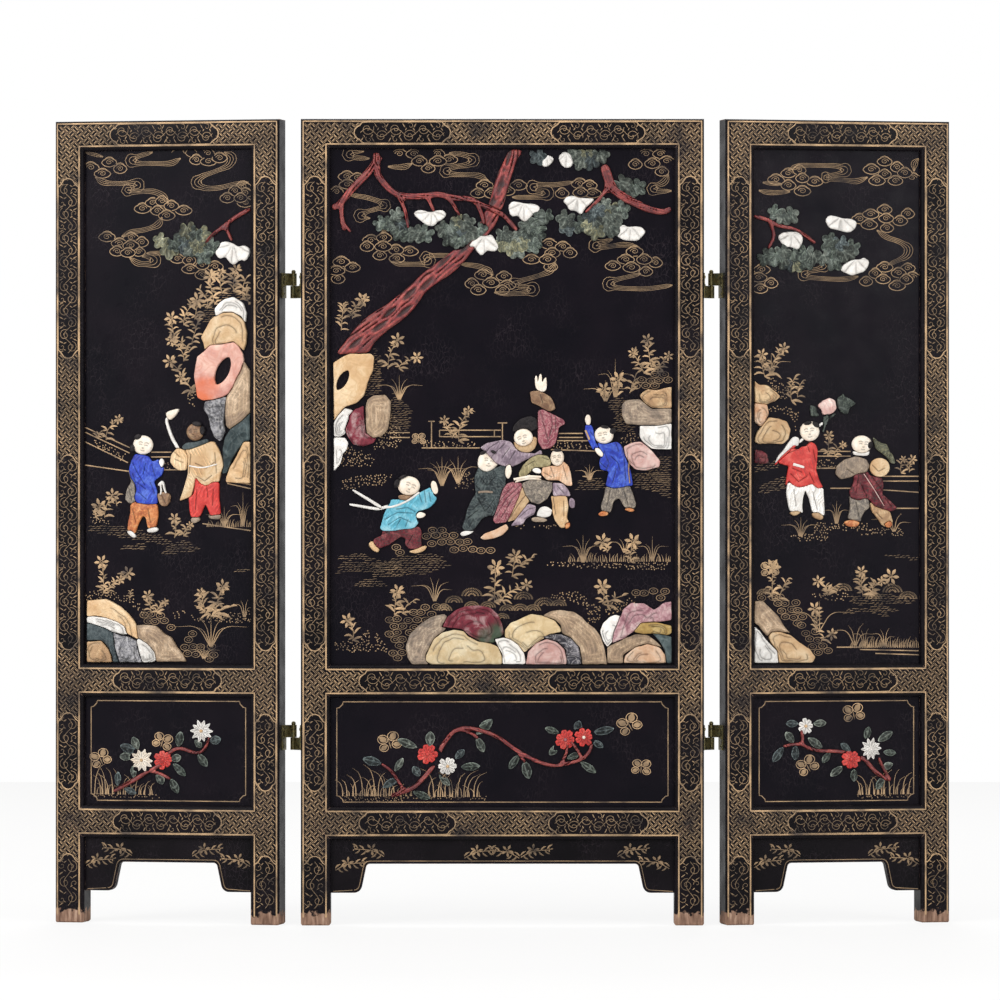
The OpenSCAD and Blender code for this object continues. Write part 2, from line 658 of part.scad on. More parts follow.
centre_figure_plan = [
    // Child in turquoise: trousers, shoes, ribbons, coat, hands, collar, head
    [[-148, 491], [-135, 491], [-125, 493], [-112, 494], [-103, 494], [-100, 488], [-101, 478],
        [-100, 470], [-105, 466], [-116, 467], [-121, 472], [-120, 480], [-126, 482], [-132, 478],
        [-140, 472], [-150, 468], [-157, 467], [-163, 474], [-158, 480], [-150, 483]],
    [[-166, 474], [-161, 477], [-158, 471], [-152, 466], [-155, 462], [-161, 465], [-165, 470]],
    [[-116, 464], [-108, 466], [-97, 471], [-93, 470], [-97, 464], [-107, 461], [-114, 462]],
    stem([[-140, 520], [-155, 516], [-172, 519], [-190, 522]], 4, 3),
    stem([[-150, 518], [-166, 528], [-186, 540]], 4, 3),
    [[-138, 528], [-129, 528], [-115, 530], [-102, 537], [-90, 543], [-87, 540], [-85, 533],
        [-81, 530], [-84, 524], [-90, 518], [-98, 515], [-104, 514], [-108, 510], [-106, 502],
        [-104, 499], [-108, 494], [-112, 492], [-125, 491], [-135, 489], [-148, 489], [-152, 492],
        [-149, 502], [-147, 510], [-143, 518], [-139, 524]],
    [[-88, 540], [-89, 548], [-86, 552], [-82, 549], [-80, 541], [-80, 536], [-84, 534]],
    [[-107, 509], [-103, 513], [-96, 511], [-95, 508], [-100, 505], [-106, 505]],
    [[-130, 533], [-122, 534], [-110, 534], [-118, 527], [-128, 528]],
    ellipse([-116, 545], 14, 12),
    // Child in dark grey-green: shoe, robe, head
    [[-53, 486], [-46, 490], [-35, 489], [-40, 485], [-50, 482]],
    [[-30, 568], [-22, 564], [-12, 566], [-2, 570], [4, 570], [4, 530], [-2, 525], [-8, 515],
        [-10, 508], [-17, 508], [-25, 505], [-32, 495], [-37, 489], [-48, 490], [-50, 494],
        [-46, 505], [-44, 515], [-38, 528], [-33, 535], [-34, 545], [-35, 555]],
    [[-31, 570], [-30, 580], [-25, 587], [-18, 585], [-10, 580], [-5, 572], [-12, 565], [-20, 562],
        [-27, 565]],
    // Grown-up in mauve with a small child: skirts, hems and feet
    [[-28, 480], [-22, 486], [-10, 490], [5, 498], [8, 492], [0, 484], [-10, 480], [-22, 478]],
    [[14, 550], [6, 548], [0, 540], [-5, 522], [-12, 502], [-8, 498], [5, 500], [12, 512],
        [20, 530], [26, 548]],
    [[26, 548], [20, 530], [12, 512], [6, 500], [16, 503], [25, 510], [30, 522], [36, 528],
        [28, 545]],
    [[16, 503], [10, 495], [25, 497], [30, 505], [40, 510], [42, 520], [32, 523]],
    [[42, 508], [46, 518], [54, 520], [62, 515], [60, 508], [52, 505]],
    [[35, 505], [45, 507], [57, 503], [52, 500], [38, 500]],
    [[60, 532], [72, 533], [80, 532], [82, 520], [80, 505], [84, 498], [80, 493], [72, 493],
        [65, 502], [62, 512], [62, 522]],
    [[78, 498], [84, 500], [84, 494], [78, 491]],
    [[24, 548], [28, 535], [35, 525], [45, 522], [55, 528], [62, 540], [64, 549], [50, 552],
        [35, 553]],
    [[62, 549], [75, 548], [82, 540], [85, 532], [72, 533], [63, 532]],
    [[84, 531], [90, 528], [90, 518], [85, 517], [82, 523]],
    // Sleeves and collar of the grown-up
    [[-28, 592], [-20, 598], [-10, 600], [0, 602], [10, 600], [20, 588], [40, 585], [48, 590],
        [50, 583], [30, 578], [20, 572], [10, 568], [0, 570], [-8, 573], [-14, 580], [-22, 588]],
    [[44, 612], [44, 638], [50, 640], [58, 636], [66, 632], [76, 627], [78, 622], [70, 618],
        [68, 606], [66, 598], [60, 592], [50, 590], [44, 600]],
    [[34, 662], [44, 663], [52, 660], [60, 655], [64, 648], [66, 640], [58, 637], [52, 640],
        [44, 645], [36, 648], [35, 655]],
    [[41, 665], [40, 681], [43, 682], [44, 672], [46, 684], [49, 683], [49, 672], [53, 680],
        [55, 678], [55, 664], [50, 661]],
    [[3, 563], [5, 570], [10, 572], [12, 562], [8, 553], [4, 556]],
    // Child that is held: cream strip, sleeve, coat, hands, head
    [[14, 548], [20, 555], [30, 560], [45, 555], [50, 552], [35, 553], [22, 551]],
    [[50, 568], [60, 570], [70, 569], [76, 575], [82, 570], [85, 560], [87, 545], [80, 545],
        [70, 552], [55, 552], [48, 560]],
    [[20, 560], [25, 570], [35, 580], [45, 584], [56, 582], [60, 576], [60, 570], [50, 568],
        [40, 568], [34, 562], [28, 556], [22, 553]],
    [[36, 565], [42, 568], [48, 565], [48, 560], [40, 561]],
    ellipse([68, 580], 8.5, 10.5),
    // Collar, hat with a bow and head of the grown-up
    [[14, 600], [16, 592], [24, 587], [34, 586], [42, 593], [43, 605], [38, 606], [34, 597],
        [26, 594], [18, 598]],
    [[12, 612], [14, 620], [22, 628], [35, 632], [43, 628], [44, 616], [35, 612], [25, 615]],
    ellipse([26, 605], 12, 11),
    // Child in blue: trousers, shoes, coat, sleeve, hands, head
    [[128, 544], [138, 542], [148, 543], [158, 545], [162, 535], [166, 522], [164, 517],
        [152, 518], [148, 524], [145, 530], [138, 526], [136, 518], [134, 512], [124, 512],
        [122, 520], [126, 532]],
    [[118, 510], [124, 514], [132, 512], [130, 508], [122, 507]],
    [[150, 516], [158, 518], [165, 515], [160, 512]],
    [[118, 598], [130, 597], [142, 600], [148, 595], [152, 582], [156, 572], [160, 560],
        [162, 545], [155, 545], [148, 543], [138, 542], [128, 545], [130, 555], [132, 563],
        [122, 565], [120, 573], [122, 582], [120, 590]],
    [[103, 620], [108, 622], [112, 618], [115, 600], [120, 592], [112, 590], [106, 602],
        [102, 612]],
    [[102, 628], [105, 634], [109, 632], [110, 625], [108, 620], [104, 621]],
    [[114, 592], [120, 592], [126, 584], [123, 580], [116, 586]],
    ellipse([126, 608], 12, 11)];

centre_spray_stem_plan = [
    stem([[-138, 160], [-110, 170], [-95, 185], [-84, 200], [-75, 222], [-62, 240], [-48, 245],
        [-32, 243], [-15, 238], [0, 230], [20, 215], [45, 202], [65, 197], [92, 203], [102, 208],
        [109, 217], [111, 228]], 5.5, 3.5),
    stem([[-150, 200], [-138, 192], [-130, 180], [-122, 167]], 3, 3.5),
    stem([[-52, 243], [-40, 239], [-30, 232]], 3.5, 3),
    stem([[20, 214], [28, 202]], 3.5, 3),
    stem([[72, 198], [79, 212], [81, 224]], 3.5, 3),
    stem([[99, 206], [94, 216], [85, 228]], 3.5, 3)];

// Foot, length, width and direction of each leaf of a spray
centre_spray_blades = [[[-149, 200], 26, 12, 165], [[-105, 220], 28, 11, 158],
    [[-90, 221], 20, 13, 88], [[-134, 190], 21, 9, 58], [[-127, 184], 26, 10, 212],
    [[-102, 184], 16, 11, 125], [[-112, 166], 25, 10, -22], [[-79, 187], 20, 9, -45],
    [[-59, 206], 17, 10, 45], [[-53, 196], 26, 11, 3], [[-33, 236], 29, 13, 43],
    [[-32, 234], 22, 11, -65], [[21, 212], 23, 10, 235], [[27, 205], 25, 13, -76],
    [[71, 238], 20, 9, 160], [[70, 224], 18, 10, 228], [[91, 239], 16, 11, 72],
    [[79, 206], 19, 9, 22], [[111, 238], 29, 11, 12], [[111, 229], 17, 9, -30],
    [[96, 203], 25, 10, -35]];

centre_spray_flower_plan = [
    [[-110, 214], [-104, 222], [-96, 227], [-90, 220], [-82, 219], [-76, 214], [-76, 206],
        [-82, 199], [-90, 197], [-98, 200], [-105, 204]],
    petals([-68, 197], 15, 8),
    [[64, 217], [64, 222], [70, 226], [68, 232], [72, 237], [78, 239], [88, 240], [90, 235],
        [85, 229], [78, 222], [70, 218]],
    [[88, 235], [90, 242], [98, 245], [108, 240], [115, 238], [114, 228], [110, 224], [100, 221],
        [92, 223]]];

left_branch_plan = [
    stem([[107, 889], [88, 880], [72, 868], [58, 858], [48, 847]], 5, 3),
    stem([[73, 869], [82, 850]], 3.5, 3)];

left_foliage_plan = [
    [[-18, 850], [-12, 857], [-3, 857], [5, 853], [12, 858], [18, 866], [26, 870], [38, 869],
        [45, 866], [55, 868], [62, 862], [58, 850], [66, 846], [62, 836], [60, 828], [48, 826],
        [38, 824], [32, 832], [22, 834], [15, 838], [8, 832], [0, 832], [-8, 840], [-15, 838]]];

left_blossom_plan = [
    [[60, 835], [66, 842], [68, 848], [76, 849], [84, 846], [90, 842], [98, 844], [105, 840],
        [106, 834], [100, 824], [93, 826], [84, 819], [78, 824], [74, 830], [66, 827]]];

left_rock_plan = [
    // Tall pile at the right
    [[48, 650], [58, 652], [70, 655], [76, 656], [74, 640], [72, 625], [74, 612], [68, 600],
        [60, 605], [55, 618], [52, 632], [46, 640]],
    [[76, 656], [84, 668], [90, 680], [98, 700], [107, 688], [107, 636], [95, 625], [80, 615],
        [75, 620], [74, 640]],
    [[107, 636], [107, 602], [100, 600], [90, 590], [82, 575], [76, 560], [70, 560], [72, 575],
        [70, 590], [74, 605], [80, 615], [95, 625]],
    [[107, 600], [107, 548], [75, 549], [75, 555], [80, 568], [90, 585], [98, 600]],
    [[43, 730], [50, 742], [55, 752], [64, 758], [75, 762], [88, 760], [98, 750], [102, 735],
        [101, 722], [98, 712], [92, 718], [85, 724], [70, 721], [55, 720], [48, 712], [46, 722]],
    [[60, 765], [62, 756], [72, 761], [84, 761], [95, 755], [100, 748], [102, 760], [97, 772],
        [85, 780], [74, 778], [66, 772]],
    [[38, 706], [46, 712], [55, 720], [70, 721], [85, 724], [92, 718], [97, 710], [98, 700],
        [94, 688], [88, 678], [84, 668], [78, 659], [70, 655], [58, 652], [45, 651], [38, 655],
        [36, 668], [34, 682], [36, 695]],
    // Bank at the foot of the panel
    [[-104, 382], [-95, 383], [-80, 381], [-65, 376], [-55, 370], [-52, 360], [-60, 359],
        [-68, 361], [-80, 367], [-95, 372], [-104, 374]],
    [[-104, 402], [-80, 404], [-70, 400], [-60, 394], [-50, 385], [-42, 375], [-37, 363],
        [-38, 354], [-45, 357], [-52, 361], [-55, 370], [-65, 376], [-80, 381], [-95, 383],
        [-104, 382]],
    [[-104, 374], [-95, 372], [-80, 367], [-70, 362], [-68, 345], [-62, 325], [-70, 325],
        [-75, 340], [-80, 348], [-90, 352], [-104, 352]],
    [[-70, 362], [-60, 359], [-50, 357], [-40, 352], [-38, 340], [-33, 325], [-62, 325],
        [-68, 345]],
    [[-104, 351], [-85, 352], [-76, 342], [-72, 332], [-71, 325], [-104, 325]],
    [[-40, 352], [-36, 356], [-25, 348], [-17, 338], [-14, 328], [-20, 325], [-32, 325],
        [-37, 340]],
    [[-40, 372], [-30, 372], [-15, 371], [-5, 362], [5, 356], [12, 345], [20, 335], [24, 326],
        [-14, 326], [-16, 338], [-25, 348], [-38, 356]]];

left_figure_plan = [
    // Child in blue: underlayer, trousers, shoes, basket, coat, hands, head
    [[-51, 566], [-47, 550], [-53, 540], [-55, 528], [-48, 522], [-42, 524], [-42, 545]],
    [[-48, 522], [-40, 526], [-28, 526], [-14, 526], [-12, 510], [-14, 498], [-16, 492],
        [-26, 493], [-28, 505], [-32, 508], [-38, 497], [-42, 486], [-52, 488], [-51, 500],
        [-48, 512]],
    [[-53, 489], [-46, 489], [-40, 482], [-44, 480], [-50, 484]],
    [[-27, 491], [-16, 494], [-11, 491], [-16, 487], [-26, 487]],
    [[-14, 535], [-5, 538], [4, 534], [3, 526], [-2, 519], [-10, 521]],
    [[-42, 585], [-35, 584], [-25, 582], [-20, 575], [-12, 578], [-8, 572], [-5, 566], [-8, 558],
        [-14, 554], [-18, 550], [-14, 540], [-13, 523], [-25, 522], [-40, 524], [-43, 530],
        [-40, 540], [-42, 548], [-48, 556], [-50, 566], [-47, 576]],
    [[-12, 575], [-8, 580], [-4, 575], [-8, 567]],
    [[-14, 546], [-8, 552], [-5, 550], [-8, 544]],
    ellipse([-32, 596], 13, 12),
    // Figure in yellow: lotus, shoes, trousers, robe, sleeve, collar, head
    stem([[18, 584], [5, 605], [-2, 625], [1, 636]], 4, 3),
    [[-3, 634], [0, 638], [16, 642], [10, 632], [2, 626]],
    [[30, 506], [40, 507], [42, 502], [34, 498], [30, 500]],
    [[52, 508], [62, 511], [69, 508], [66, 503], [54, 504]],
    [[36, 558], [42, 552], [52, 548], [60, 553], [66, 551], [66, 530], [68, 510], [55, 508],
        [50, 520], [48, 522], [43, 510], [40, 506], [30, 506], [28, 515], [27, 532], [33, 534],
        [35, 545]],
    [[20, 592], [28, 590], [40, 596], [50, 600], [60, 600], [66, 590], [70, 580], [72, 570],
        [68, 560], [66, 550], [58, 550], [50, 545], [42, 548], [36, 556], [34, 545], [30, 532],
        [15, 526], [20, 540], [26, 560], [26, 575]],
    [[3, 575], [5, 585], [12, 592], [22, 590], [26, 580], [24, 565], [15, 564], [8, 568]],
    [[18, 594], [24, 599], [38, 600], [50, 604], [54, 600], [44, 596], [30, 591], [20, 590]],
    ellipse([35, 612], 11, 11)];

left_spray_stem_plan = [
    stem([[-70, 164], [-55, 172], [-40, 180], [-28, 188], [-10, 197], [0, 211], [10, 218],
        [20, 218], [32, 213], [42, 213], [49, 220], [53, 232]], 5, 3),
    stem([[-22, 190], [-8, 186], [3, 180]], 3.5, 3)];

left_spray_blades = [[[-39, 213], 25, 12, 160], [[-45, 207], 18, 11, 178], [[-38, 216], 18, 11, 115],
    [[-44, 180], 17, 9, 92], [[-65, 170], 19, 9, 88], [[-57, 168], 18, 9, -22],
    [[13, 219], 21, 12, 80], [[34, 229], 14, 9, -45], [[53, 227], 16, 12, 12],
    [[38, 212], 21, 11, -52], [[3, 204], 15, 11, 15], [[6, 200], 24, 10, -44],
    [[-14, 189], 18, 12, -65], [[3, 181], 22, 11, -62]];

left_spray_flower_plan = [
    [[-20, 208], [-16, 213], [-8, 215], [0, 212], [4, 207], [4, 199], [4, 194], [-2, 195],
        [-10, 198], [-14, 203]],
    petals([-34, 203], 16, 10),
    petals([43, 240], 14, 9)];

right_branch_plan = [
    stem([[-107, 880], [-90, 876], [-75, 868], [-55, 865], [-38, 855], [-28, 847]], 4.5, 3),
    stem([[-86, 875], [-80, 855], [-88, 840]], 3.5, 3)];

right_foliage_plan = [
    [[-88, 890], [-80, 894], [-72, 890], [-60, 890], [-48, 885], [-50, 876], [-57, 870],
        [-70, 873], [-82, 878]],
    [[-98, 832], [-90, 838], [-75, 842], [-60, 838], [-50, 840], [-35, 842], [-25, 838],
        [-15, 845], [-22, 852], [-18, 860], [-8, 863], [0, 858], [10, 850], [25, 850], [28, 842],
        [22, 834], [10, 828], [5, 820], [-5, 815], [-15, 822], [-28, 822], [-38, 815],
        [-50, 808], [-62, 812], [-72, 812], [-85, 818], [-95, 822]]];

right_blossom_plan = [
    [[-76, 855], [-70, 860], [-60, 861], [-50, 861], [-44, 856], [-44, 848], [-50, 838],
        [-58, 842], [-66, 842], [-72, 848]],
    [[-15, 876], [-10, 882], [-2, 881], [8, 878], [18, 878], [26, 874], [24, 866], [16, 860],
        [8, 862], [0, 864], [-10, 866]],
    [[4, 814], [10, 822], [20, 827], [30, 827], [35, 830], [42, 825], [40, 818], [35, 812],
        [28, 810], [20, 807], [12, 810]]];

right_rock_plan = [
    // Pile at the left
    [[-107, 676], [-100, 671], [-90, 670], [-80, 663], [-73, 656], [-80, 650], [-90, 646],
        [-107, 648]],
    [[-107, 648], [-90, 646], [-88, 635], [-92, 625], [-98, 618], [-107, 625]],
    [[-98, 618], [-92, 625], [-88, 630], [-75, 629], [-65, 625], [-60, 615], [-63, 603],
        [-70, 597], [-100, 597], [-107, 600], [-104, 610]],
    [[-107, 590], [-98, 589], [-90, 585], [-88, 573], [-100, 572], [-107, 574]],
    // Bank at the foot of the panel
    [[-107, 402], [-95, 402], [-85, 392], [-75, 382], [-68, 370], [-60, 362], [-70, 363],
        [-85, 363], [-90, 358], [-100, 370], [-107, 375]],
    [[-107, 371], [-100, 365], [-92, 355], [-85, 347], [-77, 340], [-75, 325], [-107, 325]],
    [[-88, 358], [-85, 363], [-75, 364], [-60, 360], [-48, 350], [-35, 342], [-28, 332],
        [-32, 325], [-75, 325], [-77, 340], [-85, 350]]];

right_figure_plan = [
    // Child in red with a lotus: flower, leaves, stalk, trousers, shoes, sleeve, coat, head
    stem([[-80, 572], [-66, 586], [-50, 598], [-34, 612], [-20, 622], [-2, 635]], 3, 2.5),
    [[-25, 645], [-20, 652], [-10, 655], [-2, 652], [0, 642], [-6, 635], [-18, 633]],
    [[-37, 647], [-28, 645], [-25, 640], [-22, 632], [-33, 630], [-35, 638]],
    [[0, 655], [8, 662], [14, 655], [25, 648], [16, 642], [14, 634], [5, 636], [0, 645]],
    [[-18, 632], [-10, 633], [-12, 620], [-18, 622]],
    [[-64, 548], [-58, 550], [-50, 546], [-40, 548], [-32, 550], [-25, 545], [-18, 543],
        [-17, 530], [-16, 510], [-20, 504], [-30, 508], [-33, 518], [-36, 530], [-41, 540],
        [-44, 530], [-45, 518], [-44, 512], [-58, 510], [-62, 518], [-65, 535]],
    [[-62, 512], [-52, 514], [-46, 512], [-55, 507]],
    [[-33, 511], [-25, 512], [-17, 507], [-20, 502], [-30, 505]],
    [[-62, 600], [-55, 607], [-48, 604], [-50, 594], [-56, 596], [-62, 590], [-68, 585],
        [-75, 578], [-80, 572], [-76, 582], [-68, 590]],
    [[-58, 592], [-50, 590], [-45, 594], [-40, 594], [-34, 600], [-28, 597], [-25, 590],
        [-26, 575], [-27, 565], [-23, 552], [-18, 543], [-25, 542], [-32, 548], [-40, 545],
        [-50, 543], [-58, 547], [-62, 552], [-66, 545], [-64, 560], [-62, 570], [-68, 571],
        [-76, 574], [-70, 580], [-62, 586]],
    ellipse([-35, 613], 12.5, 12.5),
    // Child in dark red: legs, shoes, robe, sleeves, collar, plume, head
    [[16, 532], [28, 530], [40, 532], [42, 518], [35, 513], [31, 505], [30, 498], [20, 500],
        [14, 505], [17, 518]],
    [[42, 524], [52, 523], [60, 518], [68, 514], [72, 500], [65, 493], [58, 496], [52, 505],
        [45, 513]],
    [[8, 500], [18, 503], [30, 500], [26, 494], [14, 494]],
    [[60, 497], [68, 502], [72, 496], [66, 492]],
    [[22, 564], [38, 565], [42, 558], [50, 556], [58, 555], [60, 545], [58, 535], [70, 525],
        [78, 517], [70, 513], [60, 516], [48, 520], [42, 528], [36, 530], [28, 527], [18, 530],
        [16, 538], [22, 550]],
    [[-2, 560], [0, 570], [10, 578], [25, 582], [38, 578], [42, 570], [38, 562], [25, 560],
        [18, 556], [5, 553]],
    ellipse([55, 568], 13, 12),
    [[46, 606], [55, 600], [65, 598], [70, 590], [76, 572], [70, 572], [62, 583], [50, 590]],
    [[20, 588], [42, 588], [40, 582], [22, 583]],
    ellipse([32, 597], 13, 11)];

right_spray_stem_plan = [
    stem([[69, 178], [60, 182], [50, 188], [42, 197], [36, 204], [22, 210], [5, 214], [-10, 215],
        [-22, 215], [-35, 218], [-46, 224], [-60, 223], [-69, 221]], 5, 3),
    stem([[-45, 223], [-44, 232], [-46, 241]], 3.5, 3),
    stem([[68, 179], [60, 192], [54, 206]], 3, 3)];

right_spray_blades = [[[-49, 249], 17, 10, 178], [[-31, 249], 18, 10, 3], [[-55, 225], 18, 11, 128],
    [[-38, 232], 24, 11, -35], [[-68, 221], 25, 11, 233], [[-53, 223], 20, 11, -92],
    [[-8, 214], 18, 9, 232], [[9, 196], 22, 10, 215], [[18, 214], 17, 9, 142],
    [[37, 228], 18, 10, 75], [[52, 226], 24, 11, 32], [[59, 213], 18, 9, -5],
    [[56, 192], 18, 10, 22], [[22, 193], 17, 10, -90], [[61, 183], 20, 10, 240]];

right_spray_flower_plan = [
    [[-49, 250], [-46, 253], [-40, 253], [-34, 248], [-31, 241], [-35, 236], [-41, 239],
        [-47, 243]],
    [[6, 208], [10, 214], [20, 213], [28, 217], [31, 212], [30, 206], [26, 203], [26, 196],
        [22, 192], [16, 193], [10, 190], [7, 194], [9, 200]],
    petals([44, 217], 14.5, 8)];

// ---------------------------------------------------------------- nodes

module centre_left_stile() {
    color(lacquer)
        on_centre()
            stile(centre_w, -1);
}

module centre_right_stile() {
    color(lacquer)
        on_centre()
            stile(centre_w, 1);
}

module centre_top_rail() {
    color(lacquer)
        on_centre()
            top_rail(centre_w);
}

module centre_middle_rail() {
    color(lacquer)
        on_centre()
            middle_rail(centre_w, middle_rail_z);
}

module centre_bottom_rail() {
    color(lacquer)
        on_centre()
            middle_rail(centre_w, bottom_rail_z);
}

module centre_main_panel() {
    color(panel_lacquer)
        on_centre()
            panel(centre_w, main_opening_z, main_opening_h);
}

module centre_lower_panel() {
    color(panel_lacquer)
        on_centre()
            panel(centre_w, lower_opening_z, lower_opening_h);
}

module centre_apron() {
    color(lacquer)
        on_centre()
            apron(centre_w);
}

module centre_trunk() {
    color(coral_red)
        on_centre()
            lay(centre_trunk_plan,
                concat(centre_branch_plan, centre_foliage_plan, centre_blossom_plan,
                    centre_rock_plan),
                branch_t, centre_w);
}

module centre_branches() {
    color(coral_red)
        on_centre()
            lay_joined(centre_branch_plan, centre_blossom_plan, branch_t, centre_w);
}

module centre_foliage() {
    color(leaf_green)
        on_centre()
            lay(centre_foliage_plan, concat(centre_branch_plan, centre_blossom_plan), leaf_t, centre_w);
}

module centre_blossoms() {
    color(white_stone)
        on_centre()
            lay(centre_blossom_plan, [], blossom_t, centre_w);
}

module centre_rocks() {
    color(tan_stone)
        on_centre()
            lay(centre_rock_plan, centre_figure_plan, rock_t, centre_w);
}

module centre_figures() {
    color(robe_stone)
        on_centre()
            lay(centre_figure_plan, [], figure_t, centre_w);
}

module centre_spray_stem() {
    color(coral_red)
        on_centre()
            lay_joined(centre_spray_stem_plan, centre_spray_flower_plan, branch_t, centre_w, false);
}

module centre_spray_leaves() {
    color(leaf_green)
        on_centre()
            lay(blades(centre_spray_blades),
                concat(centre_spray_stem_plan, centre_spray_flower_plan), leaf_t, centre_w, false);
}

module centre_spray_flowers() {
    color(white_stone)
        on_centre()
            lay(centre_spray_flower_plan, [], blossom_t, centre_w, false);
}

module left_outer_stile() {
    color(lacquer)
        on_left()
            stile(wing_w, -1);
}

module left_hinge_stile() {
    color(lacquer)
        on_left()
            stile(wing_w, 1);
}

module left_top_rail() {
    color(lacquer)
        on_left()
            top_rail(wing_w);
}

module left_middle_rail() {
    color(lacquer)
        on_left()
            middle_rail(wing_w, middle_rail_z);
}

module left_bottom_rail() {
    color(lacquer)
        on_left()
            middle_rail(wing_w, bottom_rail_z);
}

module left_main_panel() {
    color(panel_lacquer)
        on_left()
            panel(wing_w, main_opening_z, main_opening_h);
}

module left_lower_panel() {
    color(panel_lacquer)
        on_left()
            panel(wing_w, lower_opening_z, lower_opening_h);
}

module left_apron() {
    color(lacquer)
        on_left()
            apron(wing_w);
}

module left_branches() {
    color(coral_red)
        on_left()
            lay_joined(left_branch_plan, left_blossom_plan, branch_t, wing_w);
}

module left_foliage() {
    color(leaf_green)
        on_left()
            lay(left_foliage_plan, concat(left_branch_plan, left_blossom_plan), leaf_t, wing_w);
}

module left_blossoms() {
    color(white_stone)
        on_left()
            lay(left_blossom_plan, [], blossom_t, wing_w);
}

module left_rocks() {
    color(tan_stone)
        on_left()
            lay(left_rock_plan, left_figure_plan, rock_t, wing_w);
}

module left_figures() {
    color(robe_stone)
        on_left()
            lay(left_figure_plan, [], figure_t, wing_w);
}

module left_spray_stem() {
    color(coral_red)
        on_left()
            lay_joined(left_spray_stem_plan, left_spray_flower_plan, branch_t, wing_w, false);
}

module left_spray_leaves() {
    color(leaf_green)
        on_left()
            lay(blades(left_spray_blades),
                concat(left_spray_stem_plan, left_spray_flower_plan), leaf_t, wing_w, false);
}

module left_spray_flowers() {
    color(white_stone)
        on_left()
            lay(left_spray_flower_plan, [], blossom_t, wing_w, false);
}

module right_hinge_stile() {
    color(lacquer)
        on_right()
            stile(wing_w, -1);
}

module right_outer_stile() {
    color(lacquer)
        on_right()
            stile(wing_w, 1);
}

module right_top_rail() {
    color(lacquer)
        on_right()
            top_rail(wing_w);
}

module right_middle_rail() {
    color(lacquer)
        on_right()
            middle_rail(wing_w, middle_rail_z);
}

module right_bottom_rail() {
    color(lacquer)
        on_right()
            middle_rail(wing_w, bottom_rail_z);
}

module right_main_panel() {
    color(panel_lacquer)
        on_right()
            panel(wing_w, main_opening_z, main_opening_h);
}

module right_lower_panel() {
    color(panel_lacquer)
        on_right()
            panel(wing_w, lower_opening_z, lower_opening_h);
}

module right_apron() {
    color(lacquer)
        on_right()
            apron(wing_w);
}

module right_branches() {
    color(coral_red)
        on_right()
            lay_joined(right_branch_plan, right_blossom_plan, branch_t, wing_w);
}

module right_foliage() {
    color(leaf_green)
        on_right()
            lay(right_foliage_plan, concat(right_branch_plan, right_blossom_plan), leaf_t, wing_w);
}

module right_blossoms() {
    color(white_stone)
        on_right()
            lay(right_blossom_plan, [], blossom_t, wing_w);
}

module right_rocks() {
    color(tan_stone)
        on_right()
            lay(right_rock_plan, right_figure_plan, rock_t, wing_w);
}

module right_figures() {
    color(robe_stone)
        on_right()
            lay(right_figure_plan, [], figure_t, wing_w);
}

module right_spray_stem() {
    color(coral_red)
        on_right()
            lay_joined(right_spray_stem_plan, right_spray_flower_plan, branch_t, wing_w, false);
}

module right_spray_leaves() {
    color(leaf_green)
        on_right()
            lay(blades(right_spray_blades),
                concat(right_spray_stem_plan, right_spray_flower_plan), leaf_t, wing_w, false);
}

module right_spray_flowers() {
    color(white_stone)
        on_right()
            lay(right_spray_flower_plan, [], blossom_t, wing_w, false);
}

module left_hinge_fixed_plates() {
    color(old_brass)
        on_centre_side(-1)
            hinge_halves(false);
}

module left_hinge_wing_plates() {
    color(old_brass)
        on_left_side()
            hinge_halves(true);
}

module left_hinge_pins() {
    color(old_brass)
        on_centre_side(-1)
            for (z = [lower_hinge_z, upper_hinge_z])
                hinge_pin(z);
}

module right_hinge_fixed_plates() {
    color(old_brass)
        on_centre_side(1)
            hinge_halves(false);
}

module right_hinge_wing_plates() {
    color(old_brass)
        on_right_side()
            hinge_halves(true);
}

module right_hinge_pins() {
    color(old_brass)
        on_centre_side(1)
            for (z = [lower_hinge_z, upper_hinge_z])
                hinge_pin(z);
}

centre_left_stile();
centre_right_stile();
centre_top_rail();
centre_middle_rail();
centre_bottom_rail();
centre_main_panel();
centre_lower_panel();
centre_apron();
centre_trunk();
centre_branches();
centre_foliage();
centre_blossoms();
centre_rocks();
centre_figures();
centre_spray_stem();
centre_spray_leaves();
centre_spray_flowers();
left_outer_stile();
left_hinge_stile();
left_top_rail();
left_middle_rail();
left_bottom_rail();
left_main_panel();
left_lower_panel();
left_apron();
left_branches();
left_foliage();
left_blossoms();
left_rocks();
left_figures();
left_spray_stem();
left_spray_leaves();
left_spray_flowers();
right_hinge_stile();
right_outer_stile();
right_top_rail();
right_middle_rail();
right_bottom_rail();
right_main_panel();
right_lower_panel();
right_apron();
right_branches();
right_foliage();
right_blossoms();
right_rocks();
right_figures();
right_spray_stem();
right_spray_leaves();
right_spray_flowers();
left_hinge_fixed_plates();
left_hinge_wing_plates();
left_hinge_pins();
right_hinge_fixed_plates();
right_hinge_wing_plates();
right_hinge_pins();
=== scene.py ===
# %% [markdown]
# # A three-leaf lacquer screen with applied stones
# The screen is a joiner's, a lacquerer's and a stone carver's work. The joiner made three
# frames with floating panels, the lacquerer coated them black and painted them in gold, and
# the carver glued thin carved stones on the panels.
# This file dresses the solids of the joinery: they keep their shape and get real finishes,
# the flat stones are carved in relief, and the gold painting is laid on as raised lines.

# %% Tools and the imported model
import json
import math
import random

import bpy
import numpy as np
from mathutils import Matrix, Vector
from mathutils.geometry import delaunay_2d_cdt

